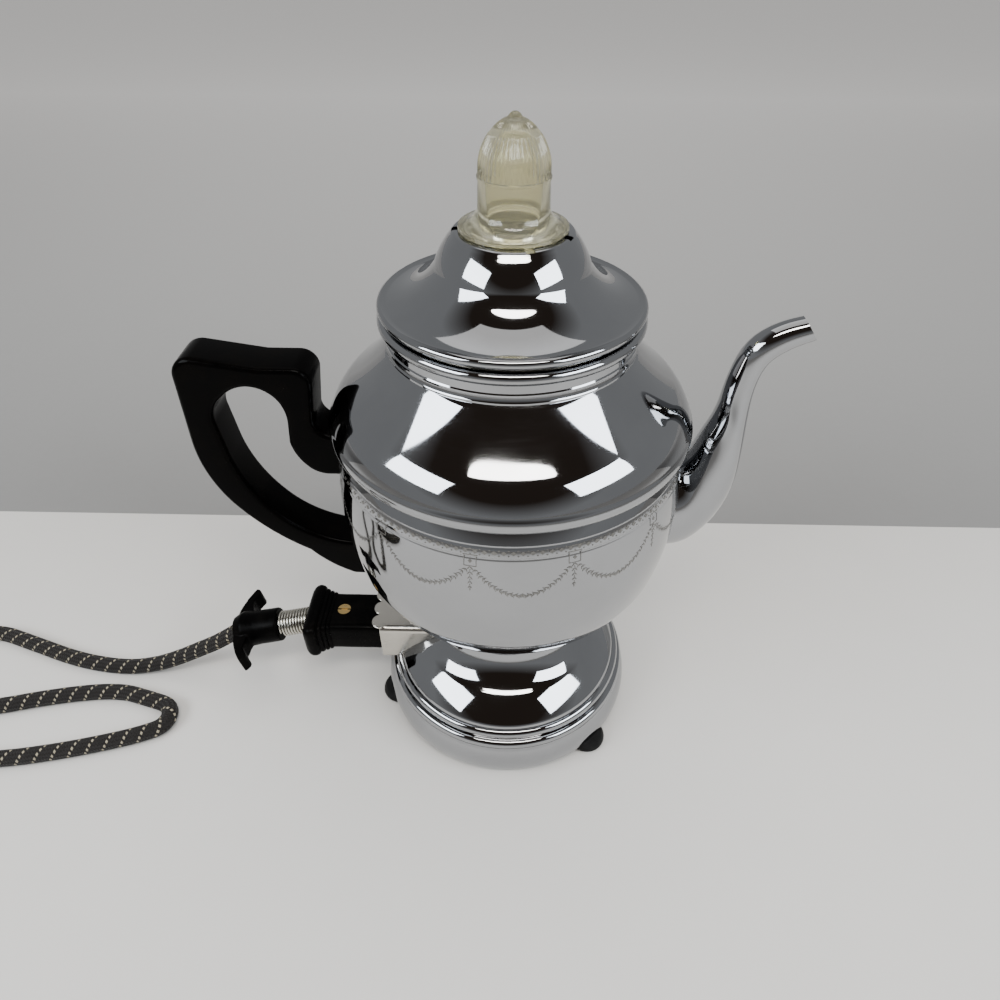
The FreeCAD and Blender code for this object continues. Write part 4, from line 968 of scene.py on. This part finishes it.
class PERCOLATOR_OT_glass(bpy.types.Operator):
    """Hollow glass knob, finely fluted over its dome"""
    bl_idname = "percolator.glass"
    bl_label = "Glass knob"

    def execute(self, context):
        sizes = context.scene.percolator_sizes
        top = KNOB_TOP
        outline = traced([
            (9.4, 249.9), (15.7, 249.9), (15.7, 252.9), (18.7, 252.9), (19.1, 253.5), (18.9, 254.3, 7.5, -1),
            (12.3, 259.5), (12.0, 269.0), (12.4, 269.3), (12.4, 269.9), (12.0, 270.2),
            (12.0, top - 16.4, 16.5, 1), (3.3, top - 1.9), (2.6, top - 1.7), (2.1, top - 1.2, 2.4, 1),
            (0.7, top - 0.05), (0.0, top), (0.0, top - 4.6), (1.0, top - 4.7, 12.0, -1), (9.4, top - 15)],
            0.5, closed=True)

        def ripple(angle, radius, height):
            outside = radius > 11.9 - (height - 272) * 0.35 if height < 284 else radius > 4.0
            fade = min(max((height - 270.4) / 1.2, 0.0), 1.0) * min(max((287.2 - height) / 2.0, 0.0), 1.0)
            wave = 0.5 - 0.5 * math.cos(sizes.flutes * angle)
            return -sizes.flute_depth / MM * fade * wave if outside else 0.0

        mesh = turned("glass_knob", outline, steps=sizes.flutes * 8, ripple=ripple)
        set_piece("fluted_glass", mesh, "knob", finish("clear_glass"), "clear_glass", "glass_knob")
        return {"FINISHED"}


# ---------------------------------------------------------------- handle and spout

class PERCOLATOR_OT_handle(bpy.types.Operator):
    """Black slab handle with rounded edges, shaped to the bowl"""
    bl_idname = "percolator.handle"
    bl_label = "Handle"

    def execute(self, context):
        rounding = context.scene.percolator_sizes.handle_rounding
        half_thickness = 0.0095
        outline = traced([
            (-77.2, 195, 7, 1), (-84, 202), (-97, 202), (-121.9, 206, 9, 1), (-131, 198),
            (-132.3, 168, 61, 1), (-124, 134, 91, 1), (-93.6, 104.2, 51, 1), (-74.3, 88.8), (-50, 88),
            (-50, 110.3), (-74, 110.3, 46, -1), (-103.3, 126.4, 63, -1), (-117.9, 158),
            (-119.9, 176, 15, -1), (-113.8, 188.5, 15, -1), (-103, 193.3, 13, -1), (-91.8, 186, 20, -1),
            (-90.3, 177), (-91.4, 167, 22, 1), (-84.9, 153.4, 12, 1), (-77, 150.3),
            (-50, 150.3), (-50, 171.3), (-74.5, 171.3, 7, -1), (-79.5, 178)], 1.2, closed=True)
        curve = bpy.data.curves.new("handle_curve", "CURVE")
        curve.dimensions = "2D"
        curve.fill_mode = "BOTH"
        curve.extrude = half_thickness - rounding
        curve.bevel_depth = rounding
        curve.bevel_resolution = 7
        curve.offset = -rounding
        spline = curve.splines.new("POLY")
        spline.points.add(len(outline) - 1)
        spline.use_cyclic_u = True
        for knot, point in zip(spline.points, outline):
            knot.co = (point.x * MM, point.y * MM, 0.0, 1.0)
        carrier = bpy.data.objects.new("handle_curve", curve)
        context.scene.collection.objects.link(carrier)
        mesh = plain_mesh("handle_outline", carrier)
        mesh.transform(Matrix.Translation(at(0, 0, 0)) @ Matrix.Rotation(math.pi / 2, 4, "X"))
        tidied(mesh, 40, 2e-6)
        mesh = drilled("handle_slab", mesh, pot_solid(0.3))
        shaded(mesh, 40)
        set_piece("handle_slab", mesh, "pot", finish("ebonised"), "ebonised", "handle")
        dress("handle_screws")
        return {"FINISHED"}


SPOUT_STATIONS = [
    (62.0, 129.3, 20.3, 17.0, 90.0), (71.5, 129.8, 20.9, 16.4, 92.0), (79.0, 131.6, 21.6, 15.6, 97.0),
    (86.0, 144.3, 23.4, 13.6, 105.0), (90.3, 157.6, 18.2, 11.4, 116.0), (91.1, 168.0, 14.8, 9.8, 119.0),
    (91.0, 176.4, 12.0, 8.7, 122.5), (90.6, 185.2, 8.6, 6.9, 133.0), (90.6, 193.0, 6.6, 6.1, 144.5),
    (92.1, 203.4, 6.1, 5.9, 145.0), (95.9, 210.0, 6.0, 5.9, 131.0), (103.5, 214.9, 5.6, 5.5, 121.0),
    (110.85, 217.4, 5.2, 5.1, 126.3),
]


def station_between(place):
    """A spout section on a smooth line that follows the listed ones and meets the first and last."""
    n = min(int(place), len(SPOUT_STATIONS) - 2)
    t = place - n
    before = [2 * a - b for a, b in zip(SPOUT_STATIONS[0], SPOUT_STATIONS[1])]
    beyond = [2 * a - b for a, b in zip(SPOUT_STATIONS[-1], SPOUT_STATIONS[-2])]
    around = ([before] + SPOUT_STATIONS + [beyond])[n:n + 4]
    weights = ((1 - t) ** 3 / 6, (3 * t ** 3 - 6 * t ** 2 + 4) / 6,
               (-3 * t ** 3 + 3 * t ** 2 + 3 * t + 1) / 6, t ** 3 / 6)
    return [sum(weight * value for weight, value in zip(weights, column)) for column in zip(*around)]


class PERCOLATOR_OT_spout(bpy.types.Operator):
    """Curved spout, broad at the bowl and cut obliquely at its mouth"""
    bl_idname = "percolator.spout"
    bl_label = "Spout"

    def execute(self, context):
        steps, sides = 96, 64
        verts, faces = [], []
        outside = [n / steps * (len(SPOUT_STATIONS) - 1) for n in range(steps + 1)]
        rows = [(place, 0.0) for place in outside] + [(place, 1.0) for place in outside[::-1]]
        for place, thinner in rows:
            x, z, half_height, half_width, tilt = station_between(place)
            lean = math.radians(tilt)
            for k in range(sides):
                angle = 2 * math.pi * k / sides
                long = (half_height - thinner) * math.cos(angle)
                verts.append(at(x + long * math.cos(lean), (half_width - thinner) * math.sin(angle),
                                z + long * math.sin(lean)))
        for r in range(len(rows)):
            for k in range(sides):
                a, b = r * sides + k, r * sides + (k + 1) % sides
                faces.append((a, b, (b + sides) % len(verts), (a + sides) % len(verts)))
        mesh = tidied(mesh_of("spout_shell", verts, faces))
        mesh = drilled("spout_shell", mesh, pot_solid(-0.6))
        shaded(mesh)
        set_piece("spout_shell", mesh, "pot", finish("chrome"), "chrome", "spout")
        return {"FINISHED"}


# ---------------------------------------------------------------- appliance plug, shroud, spring and grip

def spring_tree(material):
    """A node tree that winds a wire into a spring along Z and gives it its material."""
    tree, entry = node_tree("Spring winder", (("Radius", "Float"), ("Length", "Float"), ("Wire", "Float"),
                                              ("Turns", "Float")))
    nodes, links = tree.nodes, tree.links
    spiral = nodes.new("GeometryNodeCurveSpiral")
    spiral.inputs["Resolution"].default_value = 40
    circle = nodes.new("GeometryNodeCurvePrimitiveCircle")
    circle.inputs["Resolution"].default_value = 12
    sweep = nodes.new("GeometryNodeCurveToMesh")
    sweep.inputs["Fill Caps"].default_value = True
    smooth = nodes.new("GeometryNodeSetShadeSmooth")
    half = nodes.new("ShaderNodeMath")
    half.operation = "MULTIPLY"
    half.inputs[1].default_value = 0.5
    links.new(entry["Radius"], spiral.inputs["Start Radius"])
    links.new(entry["Radius"], spiral.inputs["End Radius"])
    links.new(entry["Length"], spiral.inputs["Height"])
    links.new(entry["Turns"], spiral.inputs["Rotations"])
    links.new(entry["Wire"], half.inputs[0])
    links.new(half.outputs[0], circle.inputs["Radius"])
    links.new(spiral.outputs[0], sweep.inputs["Curve"])
    links.new(circle.outputs["Curve"], sweep.inputs["Profile Curve"])
    links.new(sweep.outputs[0], smooth.inputs[0])
    return end_tree(tree, smooth.outputs[0], material)


PLUG_STATIONS = [
    (-58.5, 11.7, 8.4), (-58.9, 12.3, 9.0), (-59.6, 12.5, 9.2), (-92.4, 12.5, 9.2), (-92.7, 12.9, 9.5),
    (-93.1, 13.3, 9.7), (-93.9, 13.5, 9.8), (-94.2, 13.0, 9.4), (-94.5, 13.0, 9.4), (-94.8, 13.7, 9.9),
    (-95.3, 14.1, 10.1), (-96.1, 14.2, 10.1), (-96.4, 13.7, 9.8), (-96.7, 13.8, 9.8), (-97.0, 14.6, 10.3),
    (-97.6, 15.1, 10.5), (-98.4, 15.3, 10.5), (-98.7, 14.9, 10.2), (-99.0, 15.1, 10.3), (-99.3, 16.2, 10.9),
    (-100.2, 16.9, 11.3), (-101.4, 17.3, 11.5), (-102.8, 17.4, 11.4), (-104.2, 17.0, 10.9),
    (-105.4, 16.1, 10.0), (-106.3, 14.8, 8.7), (-107.0, 12.8, 6.8), (-107.3, 9.6, 4.6),
]


def plug_half(name, side):
    """Half of the plug: ribbed towards the cord, with a rounded end, cut for its screw, pins and guard."""
    verts, faces = [], []
    columns, squareness, thinnest = 24, 0.28, 0.05
    for x, half_width, half_height in PLUG_STATIONS:
        for k in range(columns + 1):
            angle = math.pi * k / columns
            cosine = math.cos(angle) if k * 2 != columns else 0.0
            across = math.copysign(abs(cosine) ** squareness, cosine)
            rise = max(half_height * math.sin(angle) ** squareness, thinnest)
            verts.append(at(x, half_width * across, PIN_HEIGHT + side * rise))
    wide = columns + 1
    for r in range(len(PLUG_STATIONS) - 1):
        for k in range(columns):
            faces.append((r * wide + k, r * wide + k + 1, (r + 1) * wide + k + 1, (r + 1) * wide + k))
        faces.append((r * wide, (r + 1) * wide, (r + 2) * wide - 1, (r + 1) * wide - 1))
    faces.append(tuple(range(wide)))
    faces.append(tuple(range((len(PLUG_STATIONS) - 1) * wide, len(PLUG_STATIONS) * wide)))
    mesh = tidied(mesh_of(name, verts, faces), 60)
    work = bmesh.new()
    along, upright = Matrix.Rotation(math.pi / 2, 4, "Y"), Matrix.Identity(4)
    pin_x, pin_y, screw_x = -70.0, 8.75, -86.8
    for x, y, z, radius, depth, turn in (
            (pin_x, pin_y, PIN_HEIGHT, 3.35, 26, along), (pin_x, -pin_y, PIN_HEIGHT, 3.35, 26, along),
            (-105.0, 0, PIN_HEIGHT, 8.2, 9.4, along), (screw_x, 0, PIN_HEIGHT, 1.75, 40, upright),
            (screw_x, 0, PIN_HEIGHT + side * 10.0, 3.6, 4.8, upright)):
        bmesh.ops.create_cone(work, cap_ends=True, segments=40, radius1=radius * MM, radius2=radius * MM,
                              depth=depth * MM, matrix=Matrix.Translation(at(x, y, z)) @ turn)
    cutter = bpy.data.meshes.new(name + "_cutter")
    work.to_mesh(cutter)
    work.free()
    mesh = drilled(name, mesh, cutter)
    shaded(mesh, 40)
    return mesh


class PERCOLATOR_OT_plug(bpy.types.Operator):
    """Appliance plug in its shroud, with its screw, sprung cord guard and finger grip"""
    bl_idname = "percolator.plug"
    bl_label = "Plug and cord guard"

    def execute(self, context):
        sizes = context.scene.percolator_sizes
        for name, side, node in (("plug_top", 1, "plug_upper_half"), ("plug_bottom", -1, "plug_lower_half")):
            set_piece(name, plug_half(name, side), "cord_set", finish("bakelite"), "bakelite", node)
        set_piece("grip_moulding", moulded("grip_moulding", "finger_grip", 0.00045, 6), "cord_set",
                  finish("bakelite"), "bakelite", "finger_grip")
        set_piece("shroud_sheet", moulded("shroud_sheet", "shroud", 0.00035, 2), "pot", finish("nickel"),
                  "nickel", "shroud")
        spring_radius, spring_length, stand_off = 0.007, 0.0190, 0.0043
        mesh = grown("guard_coil", spring_tree(finish("spring_steel")), Length=spring_length,
                     Radius=spring_radius - sizes.spring_wire / 2, Wire=sizes.spring_wire,
                     Turns=float(sizes.spring_turns))
        droop, swing = math.radians(9.0), math.radians(5.0)
        back = Vector((math.cos(droop) * math.cos(swing), math.cos(droop) * math.sin(swing), math.sin(droop)))
        start = at(PLUG_END, 0, PIN_HEIGHT) + back * stand_off
        turn = (-back).to_track_quat("Z", "Y").to_matrix().to_4x4()
        mesh.transform(Matrix.Translation(start) @ turn)
        shaded(mesh, 60)
        set_piece("guard_coil", mesh, "cord_set", finish("spring_steel"), "spring_steel", "guard_spring")
        dress("plug_screw", "plug_nut", "contact_clips")
        return {"FINISHED"}


class PERCOLATOR_OT_works(bpy.types.Operator):
    """Pump tube, bell, washer and coffee basket inside the pot"""
    bl_idname = "percolator.works"
    bl_label = "Pump and basket"

    def execute(self, context):
        dress("pump_tube", "pump_bell", "pump_washer", "basket_stop", "coffee_basket", "basket_cover")
        return {"FINISHED"}


# ---------------------------------------------------------------- panel and registration

STEPS = ("stage", "cord", "shells", "garland", "feet", "lid", "glass", "handle", "spout", "plug", "works")


class PERCOLATOR_PT_panel(bpy.types.Panel):
    bl_label = "Percolator"
    bl_idname = "PERCOLATOR_PT_panel"
    bl_space_type = "VIEW_3D"
    bl_region_type = "UI"
    bl_category = "Percolator"

    def draw(self, context):
        for group in (context.scene.percolator_sizes, context.scene.percolator_colours):
            for name in group.__annotations__:
                self.layout.prop(group, name)
        for step in STEPS:
            self.layout.operator(f"percolator.{step}")


CLASSES = (
    PercolatorSizes, PercolatorColours, PERCOLATOR_OT_stage, PERCOLATOR_OT_cord, PERCOLATOR_OT_shells,
    PERCOLATOR_OT_garland, PERCOLATOR_OT_feet, PERCOLATOR_OT_lid, PERCOLATOR_OT_glass, PERCOLATOR_OT_handle,
    PERCOLATOR_OT_spout, PERCOLATOR_OT_plug, PERCOLATOR_OT_works, PERCOLATOR_PT_panel,
)


def register():
    for kind in CLASSES:
        bpy.utils.register_class(kind)
    bpy.types.Scene.percolator_sizes = PointerProperty(type=PercolatorSizes)
    bpy.types.Scene.percolator_colours = PointerProperty(type=PercolatorColours)


def unregister():
    del bpy.types.Scene.percolator_colours
    del bpy.types.Scene.percolator_sizes
    for kind in reversed(CLASSES):
        bpy.utils.unregister_class(kind)


def main():
    register()
    for step in STEPS:
        getattr(bpy.ops.percolator, step)()


if __name__ == "__main__":
    main()
